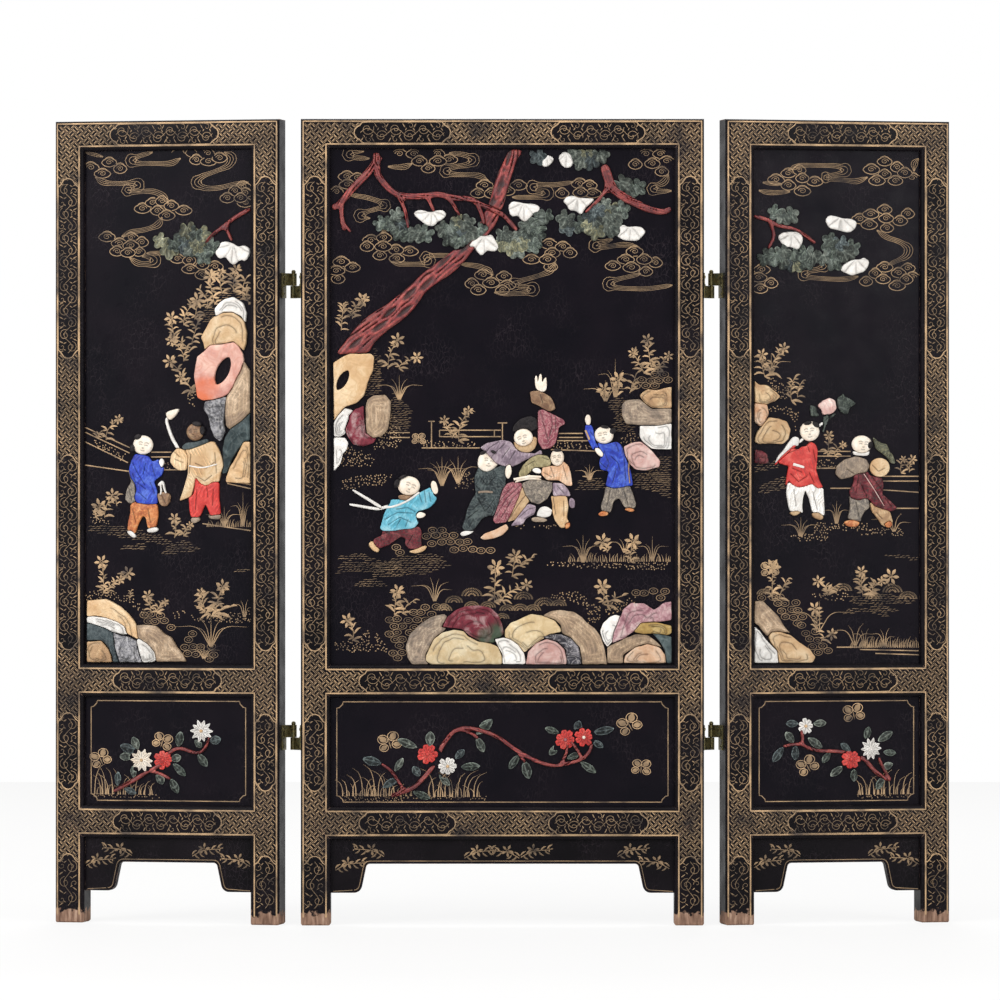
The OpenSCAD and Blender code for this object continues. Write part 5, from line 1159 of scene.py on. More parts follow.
# %% Stones of the figures
# Each row is a stone and a point inside each outline that is cut from it
FIGURES = {
    "centre": table("""dark_red_stone -130 482, yellow_soapstone -160 469 -105 467 73 512, white_soapstone
        -170 519 -166 528 -45 487 54 514 42 564, turquoise -120 505, ivory_soapstone -85 545 -100 509 47 668
        8 562 28 556 29 554 106 628 120 586, brown_soapstone -120 531 48 653, head -116 545 -18 576 26 604
        68 580 126 608, charcoal_stone -20 535, peach_soapstone -10 487 72 558, crimson_stone 5 525 58 615,
        tan_soapstone 18 515 30 591, mauve_stone 30 512 73 540 86 524 0 588, grey_brown_stone 46 503,
        orange_stone 81 497 125 511 158 516, speckled_grey_stone 42 540 140 535, black_hair_stone 30 622,
        khaki_stone 45 574, blue_stone 140 575 108 605"""),
    "left": table("""speckled_grey_stone -47 535, orange_stone -30 512, white_soapstone -46 485 -19 490 -8
        574 -9 547 5 605, brown_soapstone -5 528, blue_stone -28 555, head -32 596, ivory_soapstone 5 637,
        grey_brown_stone 35 504 60 507, red_dyed_stone 50 530, yellow_soapstone 45 575 15 578,
        dark_slate_stone 38 598, brown_head 35 612"""),
    "right": table("""rose_soapstone -12 643, leaf_green_stone -31 640 10 647 -14 627 -6 632,
        white_soapstone -40 525 -60 592 31 585 -45 602 -21 621 -55 530 -27 520 -64 591, tan_soapstone -54
        511 -26 508 55 508, red_dyed_stone -45 570 -66 584, head -35 613 32 597, speckled_grey_stone 28 515,
        orange_stone 19 500 66 497, dark_red_stone 40 545, grey_brown_stone 20 568, yellow_soapstone 55 568,
        olive_stone 60 590"""),
}
# The lines cut as folds
FOLDS = {
    "centre": tables("""-146 503, -130 512, -112 511; -141 497, -127 506, -114 500; -131 516, -118 518, -108
        513; -104 537, -100 525; -97 540, -95 525; -91 537, -89 526; -131 495, -126 504; -120 495, -117 503;
        -152 484, -138 489; -118 472, -111 484; -28 556, -19 545, -9 556; -31 530, -21 513, -10 528; -36
        516, -26 526; -43 505, -30 515; -41 494, -36 503; -33 545, -24 536; -14 508, -8 520; 30 545, 13 530,
        -1 506; 23 546, 6 530, -8 508; 14 545, 0 530, -10 514; 32 538, 18 519, 8 503; -4 600, -15 593, -22
        585; 3 597, -8 587, -14 580; 9 592, 0 580; 16 588, 9 577; 46 640, 52 618, 57 600; 60 638, 62 620, 58
        604; 66 632, 66 612; 21 506, 32 516, 47 519; 27 504, 41 512; 60 568, 64 556; 75 570, 80 553; 52 561,
        61 556; 28 569, 40 576; 49 580, 58 577; 63 530, 66 510; 76 526, 76 508; 68 545, 76 536; 109 612, 118
        601; 126 588, 132 573, 128 562; 147 597, 151 580, 153 552; 141 566, 137 549; 135 581, 143 574, 146
        564; 121 574, 130 566; 156 571, 158 550; 134 540, 130 521; 150 541, 156 521; 140 600, 144 588; 47
        658, 50 648; 24 558, 40 556"""),
    "left": tables("""-45 574, -38 560, -29 546; -28 573, -31 560; -20 571, -16 557; -39 549, -28 541; -22
        549, -17 536; -37 537, -27 528; -45 560, -41 549; -45 516, -41 500; -25 516, -22 500; 38 540, 36
        516; 50 547, 52 531; 59 541, 58 521; 30 584, 28 561; 38 557, 48 551, 57 558; 36 573, 50 567, 62 575;
        61 586, 63 562; 21 562, 25 546; 8 588, 16 581; 10 578, 20 574; -8 534, -3 524; 3 534, 1 525; -50
        543, -46 527"""),
    "right": tables("""-56 540, -53 520; -32 538, -26 516; -44 536, -41 526; -60 560, -50 550, -39 557; -58
        567, -46 562; -36 561, -30 549; -62 586, -52 590; -31 590, -28 576; 28 560, 24 537; 35 560, 48 541,
        60 522; 45 556, 58 539; 31 546, 38 532; 61 530, 70 519; 24 525, 28 506; 45 571, 53 563, 61 567; 50
        512, 58 504; 12 566, 22 560; -40 600, -36 588"""),
}
# A head's middle, where it looks (-1 left to 1 right) and its tilt in degrees, then a row for
# each lock of hair: middle, half width, half height, turn in degrees
HEADS = {
    "centre": tables("""-116 545 .6 -24, -131 548 3.4 5.5 -20, -124 556 5.5 2.0 25;
        -18 576 .5 -8, -24 586 4.2 2.2 25, -11 587 3.6 2.0 -20; 26 604 -.4 18; 68 580 -.2 8, 68 589 5.0 2.2 0;
        126 608 -.6 10, 137 613 4.2 3.6 20, 127 618 5.2 2.2 -10"""),
    "left": tables("""-32 596 .5 -10, -38 606 4.6 3.4 20, -45 592 3.6 4.4 10;
        35 612 -.5 6, 38 622 6.0 3.2 -10, 45 614 3.2 5.5 0"""),
    "right": tables("""-35 613 -.5 8, -28 621 5.0 3.0 -30, -38 623 5.0 2.4 15;
        32 597 .4 -6, 42 596 3.4 4.6 -20"""),
}
# Ribbons, belts and strings laid over the stones: widths at the ends, stone, lift, line
STRIPS = {
    "centre": table("""2.4 2.6 white_soapstone 5.4 -103 537 -116 527 -134 519 -150 518, 2.6 2.6
        grey_brown_stone 5.2 -30 537 -20 538 -12 537, 3.0 2.4 ivory_soapstone 5.4 14 553 34 557 48 556, 1.4
        1.2 tan_soapstone 5.1 160 588 156 568 158 548, 2.4 2.4 tan_soapstone 5.2 103 614 108 602"""),
    "left": table("""1.8 1.6 white_soapstone 4.9 -9 548 -8 538 -9 534, 1.8 1.6 white_soapstone 4.9 -6 550 -4
        540 -2 536, 1.8 1.4 white_soapstone 5.2 28 570 45 567 64 572"""),
    "right": table("""3.6 2.8 white_soapstone 5.5 -57 572 -50 570 -43 568, 1.8 1.4 leaf_green_stone 3.6 -18
        612 -14 626 -12 640, 1.3 1.0 rose_soapstone 5.1 34 560 47 541 60 520"""),
}


def band(line, first, last):
    """The outline of a strip that follows a line."""
    line = resample(rounded(line, 2, False), 1.5)
    reach = leftwards(np.gradient(line, axis=0)) * np.linspace(first, last, len(line))[:, None] / 2
    return np.vstack([line - reach, (line + reach)[::-1]])


def oval(u, z, half_w, half_h, turn=0.0):
    """The outline of an oval, anticlockwise."""
    turn = math.radians(turn)
    return np.array([(u + half_w * math.cos(a) * math.cos(turn) - half_h * math.sin(a) * math.sin(turn),
                      z + half_w * math.cos(a) * math.sin(turn) + half_h * math.sin(a) * math.cos(turn))
                     for a in np.linspace(0, math.tau, 28, False)])


def cloth_relief(seed, amount):
    """Pleats that fall from the shoulders, with a cut beside each, darkened with painted shade, and a painted
    highlight on its crest.
    """
    lean = 0.55 * math.sin(2.3 * seed)

    def relief(u, z, depth):
        wave = (u + lean * z + 4.5 * ripple(u, z, 15, seed) + 1.2 * ripple(u, z, 6, seed + 3)) / 4.6
        phase = wave - np.floor(wave)
        here = amount * np.clip(0.35 + 2.0 * ripple(u, z, 12, seed + 5), 0, 1)
        crest_highlight = peak(phase - 0.32, 0.09) * here
        cut = peak(phase - 0.55, 0.07) * here
        height = 0.7 * swell(depth, 3.5) + 0.25 * ripple(u, z, 9, seed + 1)
        # The cut is darkened through the dent as painted shade, and the crest gets a painted highlight in the
        # tone.
        return height + 0.55 * np.sin(math.pi * phase) * here - 0.35 * cut, 0.5 * cut, 1.7 * crest_highlight
    return relief


# The drawn lines of a face, in half widths of the head from its middle: eye and brow of one
# side, then nose and mouth. The swellings are (place, reach, rise).
EYE_AND_BROW = tables(".18 .02, .34 .05, .50 .0; .16 .24, .36 .31, .56 .22")
NOSE_AND_MOUTH = tables("-.08 -.30, .0 -.33, .08 -.30; -.20 -.54, .0 -.60, .20 -.54")
SWELLINGS = table("""0 -.12 .13 .9, 0 -.24 .12 .7, -.42 -.30 .26 .45, .42 -.30 .26 .45, 0 .5 .4 .3,
    0 -.78 .2 .4""")


def face(middle, size, look, tilt):
    """A calm child's face: its drawn lines, and the swelling of brow, nose and cheeks."""
    across = heading(math.radians(tilt))
    up = np.array([-across[1], across[0]])

    def at(x, y):
        squeeze = 1 - 0.25 * abs(look)
        return middle + size * ((x * squeeze + 0.26 * look) * across + y * up)
    lines = [[at(hand * x, y) for x, y in mark] for hand in (-1, 1) for mark in EYE_AND_BROW]
    lines += [[at(x, y) for x, y in mark] for mark in NOSE_AND_MOUTH]

    def relief(u, z, depth):
        share = np.clip(depth / (size * 0.95), 0, 1)
        height = 2.3 * np.sqrt(share * (2 - share))
        for x, y, reach, rise in SWELLINGS:
            spot = at(x, y)
            gap = (u - spot[0]) ** 2 + (z - spot[1]) ** 2
            height += rise * np.exp(-gap / (reach * size) ** 2)
        return height, 0.0
    return lines, relief


def lock_relief(u, z, depth):
    """Fine combed hair."""
    return 0.9 * swell(depth, 1.5) + 0.2 * ripple(u, z, 1.6, 2), 0.0


print("stones named in the figures:", {leaf: len(rows) for leaf, rows in FIGURES.items()})

# %% Carving the figures
ROUGH_EDGED = ("leaf_green_stone", "rose_soapstone", "olive_stone")
SMALL_MM2 = 260
HEAD_STONE = {"head": "ivory_soapstone", "brown_head": "brown_soapstone"}
HAIR = "black_hair_stone"
for leaf, rows in FIGURES.items():
    stones, thick = sort_stones(leaf + "_figures", leaf, rows)
    names = [HEAD_STONE.get(kind, kind) for ring, holes, kind in stones]
    materials, index = slots_of(names + [strip[2] for strip in STRIPS[leaf]] + [HAIR])
    heap = Heap()
    for number, ((ring, holes, kind), name) in enumerate(zip(stones, names)):
        if kind in HEAD_STONE:
            head, *locks = min(HEADS[leaf], key=lambda rows: np.hypot(*(ring.mean(0) - rows[0][:2])))
            lines, relief = face(np.array(head[:2]), math.sqrt(area(ring) / math.pi), *head[2:])
            carve(heap, ring, holes, thick - 0.8, index[name], relief, grain=1.0, edge=1.6, tone=0.6,
                  lines=[line for line in lines if inside(line, ring).all()], cut=0.25)
            for lock in locks:
                carve(heap, oval(*lock), [], thick + 1.6, index[HAIR], lock_relief, grain=1.0, edge=1.0,
                      soften=0)
            continue
        lines = [line for line in FOLDS[leaf] if inside([np.mean(line, 0)], ring)[0]]
        lines = [[p for p in resample(line, 1.0) if inside([p], ring)[0]] for line in lines]
        small = area(ring) < SMALL_MM2
        carve(heap, ring, holes, thick - 0.9, index[name], cloth_relief(number, 0.0 if small else 1.0),
              grain=1.1, edge=1.0, tone=chance.uniform(0.25, 0.75),
              lines=[line for line in lines if len(line) > 3], soften=2 if small else 1,
              limit=99 if small else 1.5, crag=2.6 if name in ROUGH_EDGED else 0.0)
    for first, last, name, lift, *line in STRIPS[leaf]:
        carve(heap, band(pairs(line), first, last), [], lift, index[name],
              lambda u, z, depth: (0.3 * swell(depth, 1), 0.0), grain=1.0, edge=0.6, soften=0)
    make_piece(f"carved_{leaf}_figures", leaf, heap, materials, f"{leaf}_figures")

# %% [markdown]
# ## Painting in gold
# The ornament is gold powder dusted on lines drawn in wet lacquer, so each line stands up a
# little and has rubbed thin in places. Here a line is a low ridge of two rows of faces: its
# edges lie in the lacquer and its crest stands a fifth of a millimetre above it. On the frame
# the brush has to follow the crowned faces and rounded arrises, which one function gives.

# %% Gold finish
def gold_paint(name, dull, bright, worn):
    """Gold powder in lacquer: half metal, half brown binder, rubbed through in places."""
    material, tree, shader = new_material(name)
    mm = millimetres(tree)
    rub = add(tree, "TexNoise", {"Vector": mm, "Scale": 1 / 24, "Detail": 6})
    colour = add(tree, "ValToRGB", {0: rub}, stops=[(0.30, worn), (0.46, dull), (0.66, bright)])
    tone = add(tree, "Attribute", attribute_name="tone")
    tone = add(tree, "MapRange", {0: tone.outputs["Fac"], 3: 0.55, 4: 1.35}, clamp=False)
    colour = add(tree, "HueSaturation", {"Color": colour, "Value": tone})
    grain = add(tree, "TexNoise", {"Vector": mm, "Scale": 1 / 1.5, "Detail": 3})
    rough = add(tree, "MapRange", {0: grain, 3: 0.42, 4: 0.66})
    bump = add(tree, "Bump", {"Height": grain, "Strength": 0.3, "Distance": 0.1 * MM})
    wire(tree, shader, {"Base Color": colour, "Roughness": rough, "Normal": bump, "Metallic": 0.3})
    return material


GOLD = gold_paint("gold_powder_in_lacquer", "#92795C", "#BA9A74", "#4C4036")
print("finish of the lines:", GOLD.name)


# %% The brush
def panel_surface(u, z):
    """Depth of the panels' faces, which are flat."""
    return np.full(len(u), PANEL_Y)


def frame_surface(half):
    """Depth of the crowned faces of stiles and rails, for half a leaf's width."""
    def member(x, w, first, second):
        r = (w * w / 4 + CROWN ** 2) / (2 * CROWN)
        x = np.clip(x, 0.05, w - 0.05)
        y = r - np.sqrt(r * r - (w / 2 - x) ** 2)
        for arris, d in ((first, x), (second, w - x)):
            top = r - math.sqrt(r * r - (w / 2 - arris) ** 2)
            fall = arris + top - np.sqrt(np.maximum(arris ** 2 - (arris - d) ** 2, 0))
            y = np.where(d < arris, fall, y)
        return y

    def surface(u, z):
        a = np.abs(u)
        y = member(half - a, STILE_W, OUTER_ARRIS, INNER_ARRIS)
        past = np.maximum(a - (half - STILE_W), 0)
        for foot, height in RAILS[:2]:
            on_rail = np.abs(z - foot - height / 2) < height / 2 - past
            y = np.where(on_rail, member(z - foot, height, INNER_ARRIS, INNER_ARRIS), y)
        z = z - RAILS[2][0]
        y = np.where(z > past, member(z, TOP_H, INNER_ARRIS, OUTER_ARRIS), y)
        return y - LEAF_D
    return surface


# How far the gold's edges lie in the lacquer and short strokes stand above it, in mm
SUNK, SHORT_LIFT = -0.03, 0.17


class Brush:
    """Draws gold lines on one surface of a leaf."""

    def __init__(self, surface, windows=()):
        self.heap, self.surface, self.windows = Heap(), surface, windows

    def stroke(self, line, width, form="even", *, tone, smooth=2, step=1.6, closed=False):
        """One line. form is even, leaf (widest in its middle) or tail (running out thin)."""
        line = np.asarray(line, float)
        if closed:
            line = closed_line(line)
        if smooth and len(line) > 2:
            line = rounded(line, smooth, False)
        length = np.hypot(*np.diff(line, axis=0).T).sum()
        if smooth:
            bends = form != "even" or len(line) > 2
            line = resample(line, min(step, max(length / 3, 0.3)) if bends else length)
        elif len(line) > 2:
            line = np.vstack([resample(line[k:k + 2], step)[:-1] for k in range(len(line) - 1)] + [line[-1:]])
        if self.windows and len(line) > 2:
            line = self.within(line)
            if len(line) < 3:
                return
        t = np.linspace(0, 1, len(line))
        if form == "leaf":
            half = width / 2 * np.sin(np.pi * np.clip(t, 0.02, 0.98)) ** 0.75
        elif form == "tail":
            half = width / 2 * (1 - 0.85 * t)
        else:
            half = np.full(len(line), width / 2)
        reach = leftwards(np.gradient(line, axis=0)) * half[:, None]
        points = [self.lay(line - reach, SUNK), self.lay(line, 0.10 + 0.09 * min(width, 2.0)),
                  self.lay(line + reach, SUNK)]
        n = len(line)
        faces = [(a + k, a + k + 1, b + k + 1, b + k) for a, b in ((n, 0), (2 * n, n)) for k in range(n - 1)]
        self.heap.put(np.vstack(points), faces, 0, tone)

    def lay(self, line, lift):
        """A line's points, lifted off the surface."""
        return at_depth(line, self.surface(line[:, 0], line[:, 1]) - lift)

    def within(self, line):
        """The first run of a line that shows in one of the windows (half width, low, high)."""
        seen = np.zeros(len(line), bool)
        for half, low, high in self.windows:
            seen |= (np.abs(line[:, 0]) < half) & (line[:, 1] > low) & (line[:, 1] < high)
        if seen.all() or not seen.any():
            return line[seen]
        first = int(np.argmax(seen))
        stop = first + int(np.argmin(np.append(seen[first:], False)))
        return line[first:stop]

    def pieces(self, line, shown, width, tone):
        """Only those runs of a line that are shown."""
        breaks = np.flatnonzero(np.diff(np.concatenate([[0], shown, [0]]).astype(int)))
        for first, stop in zip(breaks[::2], breaks[1::2]):
            if stop - first > 2:
                self.stroke(line[first:stop], width, smooth=0, tone=tone, step=1.2)

    def dashes(self, marks):
        """Many short straight lines at once: (start, end, width, tone) each."""
        a, b, width, tone = (np.array(part, float) for part in zip(*marks))
        side = leftwards(b - a) * width[:, None] / 2
        points = np.stack([self.lay(end + way * side, SUNK if way else SHORT_LIFT)
                           for way in (-1, 0, 1) for end in (a, b)], 1).reshape(-1, 3)
        faces = [(k + 2, k + 3, k + 1, k) for start in range(0, len(points), 6) for k in (start, start + 2)]
        self.heap.put(points, faces, 0, np.repeat(tone, 6))

    def ring(self, u, z, half_w, half_h, width, tone, count=14):
        """An oval line."""
        rim = oval(u, z, half_w, half_h)
        self.stroke(rim[::len(rim) // count], width, tone=tone, closed=True, smooth=1)

    def spiral(self, u, z, radius, turns, start, hand, width, tone):
        """A line that curls inwards."""
        t = np.linspace(0, 1, int(9 * turns) + 4)
        angle = start + hand * math.tau * turns * t
        reach = radius * (1 - 0.86 * t)
        self.stroke(np.stack([u + reach * np.cos(angle), z + reach * np.sin(angle)], 1), width,
                    tone=tone, smooth=1, step=1.3)

    def finish(self, name, leaf):
        """All the gold of this brush as one piece."""
        make_piece(name, leaf, self.heap, [GOLD], sharp=180)


print("depth of the panels' faces:", panel_surface([0], [0]))

# %% [markdown]
# ## The frame's ornament
# Gold lines run along the arrises. Between them the ground is a diaper, which is a lattice of
# small squares set on their points, each filled with two short strokes that turn by turn lie
# along one side or the other, like basket work. Long cartouches with bracketed ends break the
# diaper and hold a running vine. The lattice is drawn stroke by stroke, and a stroke is left
# out if its middle lies outside the diaper's ground.

# %% Frame ornament
# Outer and inner gold lines from the member's edges, and their width; then the clear strips
# beside a line and round a cartouche, and where the lines and the diaper end above the floor
LINE_OUT, LINE_IN, LINE_W = 3.0, 5.7, 1.9
LINE_GAP, CARTOUCHE_GAP, FOOT_Z, GROUND_Z = 1.4, 0.8, 10, 14
# Pitch of the diaper, how far its short strokes lie from a square's middle and half their
# length; then width and tone of its thin and strong strokes
LATTICE_MM, BASKET_MM, BASKET_HALF = 9.8, 1.35, 1.6
THIN, STRONG = (0.6, 0.0), (1.1, 0.5)
STILE_CARTOUCHES = ((704, 929), (340, 584), (166, 262), (-20, 86))
RAIL_CARTOUCHES = {
    # leaf: for the top, middle and bottom rails, the cartouches' ends
    "left": (((-73, 67),), ((-69, 71),), ((-69, 71),)),
    "centre": (((-184, -64), (60, 177)), ((-178, -58), (57, 181)), ((-178, -58), (57, 181))),
    "right": (((-65, 76),), ((-65, 76),), ((-65, 76),)),
}
# Half of a bracketed end: (share of the half width, millimetres outwards)
BRACKET_END = table("1.0 -7.5, .9 -6.2, .72 -5.2, .60 -2.6, .48 .6, .26 2.4, .0 3.2")


def cartouche(low, high, middle, half, upright):
    """The outline of a cartouche from low to high along the member, anticlockwise or not."""
    end = [(s * half, w) for s, w in BRACKET_END]
    end += [(-s, w) for s, w in end[-2::-1]]
    tip = BRACKET_END[-1][1]
    ring = [(high - tip + w, s) for s, w in end] + [(low + tip - w, -s) for s, w in end]
    if upright:
        return np.array([(middle + s, along) for along, s in ring])
    return np.array([(along, middle + s) for along, s in ring])


def vine(brush, low, high, middle, half, upright, seed):
    """A running vine: a waving stem with curls on both sides, leaves and buds."""
    draw = random.Random(seed)
    count = max(2, int((high - low - 8) / 15.0))
    pitch = (high - low - 8) / count

    def at(turns, share):
        along, across = low + 4 + pitch * turns, share * half
        return (middle + across, along) if upright else (along, middle + across)
    brush.stroke([at(k / 4, 0.42 * math.sin(math.pi * k / 4)) for k in range(4 * count + 1)], 0.7, tone=0.1)
    for k in range(count):
        hand = 1 if k % 2 else -1
        centre = at(k + 0.5, -hand * 0.33)
        start = (math.pi / 2 if upright else 0) + draw.uniform(-0.4, 0.4)
        brush.spiral(*centre, half * draw.uniform(0.52, 0.66), draw.uniform(1.2, 1.7), start, hand, 0.7,
                     tone=draw.uniform(-0.1, 0.25))
        outer = at(k + 0.5 + draw.uniform(-0.12, 0.12), hand * 0.62)
        brush.spiral(*outer, half * 0.34, 0.9, start + 2.0, -hand, 0.65, tone=draw.uniform(-0.1, 0.2))
        for way, far in ((-1, 0.86), (1, 0.86), (-0.6, 0.2), (0.8, 0.15)):
            root, tip = at(k + 0.5 + 0.30 * way, hand * 0.45), at(k + 0.5 + 0.50 * way, hand * far)
            brush.stroke([root, tip], 1.3, "leaf", tone=draw.uniform(0.0, 0.35))


def frame_ornament(leaf):
    """Everything that is painted on the stiles and rails of one leaf."""
    half = WIDTH[leaf] / 2
    brush = Brush(frame_surface(half))
    out_u, out_z, in_u = half - LINE_OUT, LEAF_H - LINE_OUT, half - STILE_W + LINE_IN
    rail_low = RAILS[0][0] + LINE_IN
    windows = [(bottom + height - LINE_IN, top + LINE_IN) for (bottom, height), top in
               zip(RAILS[:2], (RAILS[1][0], RAILS[2][0]))]
    rings = []

    def frame_line(line, closed=False):
        brush.stroke(line, LINE_W, smooth=0, step=12, closed=closed, tone=0.75)

    def vine_in_cartouche(low, high, middle, half_w, upright, seed):
        ring = cartouche(low, high, middle, half_w, upright)
        rings.append(ring)
        below_foot = upright and low < 0
        brush.stroke(ring[ring[:, 1] > GROUND_Z - 2] if below_foot else ring, 1.4, closed=not below_foot,
                     smooth=1, step=4, tone=0.62)
        margin = 3 if upright else 4
        vine(brush, max(low, GROUND_Z if upright else low) + margin, high - margin, middle, half_w, upright, seed)

    frame_line([(-out_u, FOOT_Z), (-out_u, out_z), (out_u, out_z), (out_u, FOOT_Z)])
    for low, high in windows:
        frame_line([(-in_u, low), (in_u, low), (in_u, high), (-in_u, high)], True)
    frame_line([(-in_u, FOOT_Z), (-in_u, rail_low), (in_u, rail_low), (in_u, FOOT_Z)])
    for side in (-1, 1):
        for number, (low, high) in enumerate(STILE_CARTOUCHES):
            vine_in_cartouche(low, high, side * (out_u + in_u) / 2, (out_u - in_u) / 2 - CARTOUCHE_GAP, True,
                              number + 7 * side)
    for (foot, height), spans in zip(RAILS[::-1], RAIL_CARTOUCHES[leaf]):
        low_line = foot + LINE_IN
        high_line = out_z if height == TOP_H else foot + height - LINE_IN
        for number, (low, high) in enumerate(spans):
            vine_in_cartouche(low, high, (low_line + high_line) / 2, (high_line - low_line) / 2 - CARTOUCHE_GAP,
                              False, number + int(foot))

    def ground(points):
        u, z = points.T
        good = (np.abs(u) < out_u - LINE_GAP) & (z < out_z - LINE_GAP) & (z > GROUND_Z)
        for low, high in windows + [(-1, rail_low)]:
            good &= ~((np.abs(u) < in_u + LINE_GAP) & (z > low - LINE_GAP) & (z < high + LINE_GAP))
        for ring in rings:
            good &= ~inside(points, ring)
        return good

    draw = random.Random(3)
    reach = int((LEAF_H + half) / LATTICE_MM) + 2
    strokes = []
    for i in range(-reach, reach):
        for j in range(-reach, reach):
            u, z = (i + j) * LATTICE_MM / 2, (i - j) * LATTICE_MM / 2
            if abs(u) > half or not 0 < z < LEAF_H:
                continue
            top = (u, z + LATTICE_MM / 2)
            strokes += [((u - LATTICE_MM / 2, z), top, *THIN), (top, (u + LATTICE_MM / 2, z), *THIN)]
            way = 1 if (i + j) % 2 else -1
            for k in (-1, 1):
                cu, cz = u + k * BASKET_MM * way, z - k * BASKET_MM
                strokes.append(((cu - BASKET_HALF, cz - BASKET_HALF * way),
                                (cu + BASKET_HALF, cz + BASKET_HALF * way), *STRONG))
    middles = np.array([np.add(a, b) / 2 for a, b, width, tone in strokes])
    brush.dashes([(a, b, width, tone + draw.uniform(-0.25, 0.25)) for (a, b, width, tone), good
                  in zip(strokes, ground(middles)) if good])
    brush.finish(f"gold_on_{leaf}_frame", leaf)


for leaf in WIDTH:
    frame_ornament(leaf)

# %% [markdown]
# ## The painted ground of the panels
# Round the stones the painter drew clouds, shrubs, grass, fences, pebbled banks and dotted
# earth, each with its own habit of the brush. So each habit is a small function: a cloud is
# curled ovals with a banner of lines behind, a shrub is a stem with paired leaves and a star
# of petals, a bank is rows of doubled rings. Tables then say where each one goes.

# %% Habits of the brush
def banner(brush, line):
    """A cloud's banner: lines side by side that spread where they fold and close at the ends."""
    step, gap = 1.6, 1.65
    middle = resample(rounded(line, 3, False), step)
    side = leftwards(np.gradient(middle, axis=0))
    bend = np.minimum(np.hypot(*np.gradient(side, axis=0).T) / step, 0.3)
    bend = np.convolve(bend, np.ones(7) / 7, mode="same")
    way = np.arange(len(middle)) * step
    close = np.clip(np.minimum(way, way[-1] - way) / 9 + 0.25, 0, 1)
    for place in (-1.5, -0.5, 0.5, 1.5):
        brush.stroke(middle + side * (place * gap * (0.9 + 11 * bend) * close)[:, None], 0.7, smooth=0,
                     tone=0.35)


# A lobe's outline, from its left tip over the top: (share of half width, of half height)
LOBE = table("""-1.0 -.15, -.86 .35, -.6 .55, -.42 .9, .0 1.1, .42 .9, .6 .55, .86 .35, 1.0 -.15, .7 -.7,
    .0 -1.0, -.7 -.7""")


def cloud(brush, lobes):
    """A cloud of curled lobes that lie like scales. A later lobe hides what is behind it."""
    size, tone = 11.0, 0.5
    sizes = [(size * (1.0 - 0.10 * (k % 3)), size * (0.60 - 0.04 * (k % 2))) for k in range(len(lobes))]
    for k, ((u, z), (half_w, half_h)) in enumerate(zip(lobes, sizes)):
        hand = 1 if (k + int(u)) % 2 else -1

        def shown(points):
            free = np.ones(len(points), bool)
            for (a, b), (w, h) in zip(lobes[k + 1:], sizes[k + 1:]):
                free &= ((points[:, 0] - a) / w) ** 2 + ((points[:, 1] - b) / (1.02 * h)) ** 2 > 1
            return free
        shape = np.array(LOBE) * (half_w * hand, half_h)
        turn = np.linspace(0, 1, 26)
        curl = np.stack([np.cos(math.tau * 1.55 * turn), np.sin(math.tau * 1.55 * turn)], 1)
        curl *= (1 - 0.85 * turn)[:, None] * (half_w * 0.50 * hand, half_h * 0.58)
        arch = np.array([heading(a) for a in np.linspace(0.5, 2.6, 9)])
        arch *= (half_w * 0.74 * hand, half_h * 0.84)
        for part, width, light in ((closed_line(shape), 1.05, tone), (curl, 0.75, tone - 0.1),
                                   (arch, 0.65, tone - 0.2)):
            part = resample(rounded(part, 2, False), 1.1) + (u, z)
            brush.pieces(part, shown(part), width, light)


def star(brush, u, z, size, petals, turn, tone):
    """A flower of brushed petals round a small ring."""
    for k in range(petals):
        way = heading(turn + math.tau * k / petals)
        brush.stroke([(u, z) + way * size * 0.25, (u, z) + way * size], size * 0.42, "leaf", tone=tone)
    brush.ring(u, z, size * 0.2, size * 0.2, 0.7, tone)


def sprig(brush, u, z, height, lean, leaf_mm, pairs, flower):
    """A shrub's twig: a bending stem, brushed leaves by turns and a star of petals at its tip."""
    draw = random.Random(int(u * 7 + z * 3))
    tone = 0.45
    sway = draw.uniform(-3, 3)

    def stem(t):
        return np.array([u + lean * t * t + sway * math.sin(math.pi * t), z + height * t])
    brush.stroke([stem(t) for t in (0, 0.25, 0.5, 0.75, 1.0)], 1.1, tone=tone - 0.15)
    for k in range(2 * pairs + 1):
        t = (k + 0.4) / (2 * pairs + 1)
        hand = 1 if k % 2 else -1
        a = math.pi / 2 + hand * (1.25 - 0.5 * t + draw.uniform(-0.4, 0.4)) - 0.02 * lean
        reach = leaf_mm * draw.uniform(0.85, 1.5) * (1.1 - 0.3 * t)
        root, tip = stem(t), stem(t) + heading(a) * reach - (0, 0.12 * reach)
        bow = root + heading(a) * reach * 0.5 + (0, draw.uniform(0.5, 2.2))
        light = tone + draw.uniform(-0.3, 0.6)
        brush.stroke([root, bow, tip], reach * draw.uniform(0.2, 0.28), "leaf", tone=light)
        if draw.random() < 0.5:
            brush.stroke([root, root + reach * 0.6 * heading(a + hand * 0.7)], reach * 0.2, "leaf",
                         tone=light - 0.15)
    if flower:
        star(brush, *stem(1.0), flower * 1.35, 6, lean, tone + 0.35)


def grass(brush, u, z, length, count, spread):
    """A tuft of blades that bow outwards."""
    for k in range(count):
        side = (k / (count - 1) - 0.5) * 2
        reach = length * (1 - 0.25 * abs(side) * (k % 2))
        top = (u + side * spread * reach * 0.75, z + reach * (1 - 0.42 * abs(side)))
        middle = (u + side * spread * reach * 0.26, z + reach * 0.62)
        brush.stroke([(u + side * 1.2, z), middle, top], 1.5, "tail", tone=0.5)


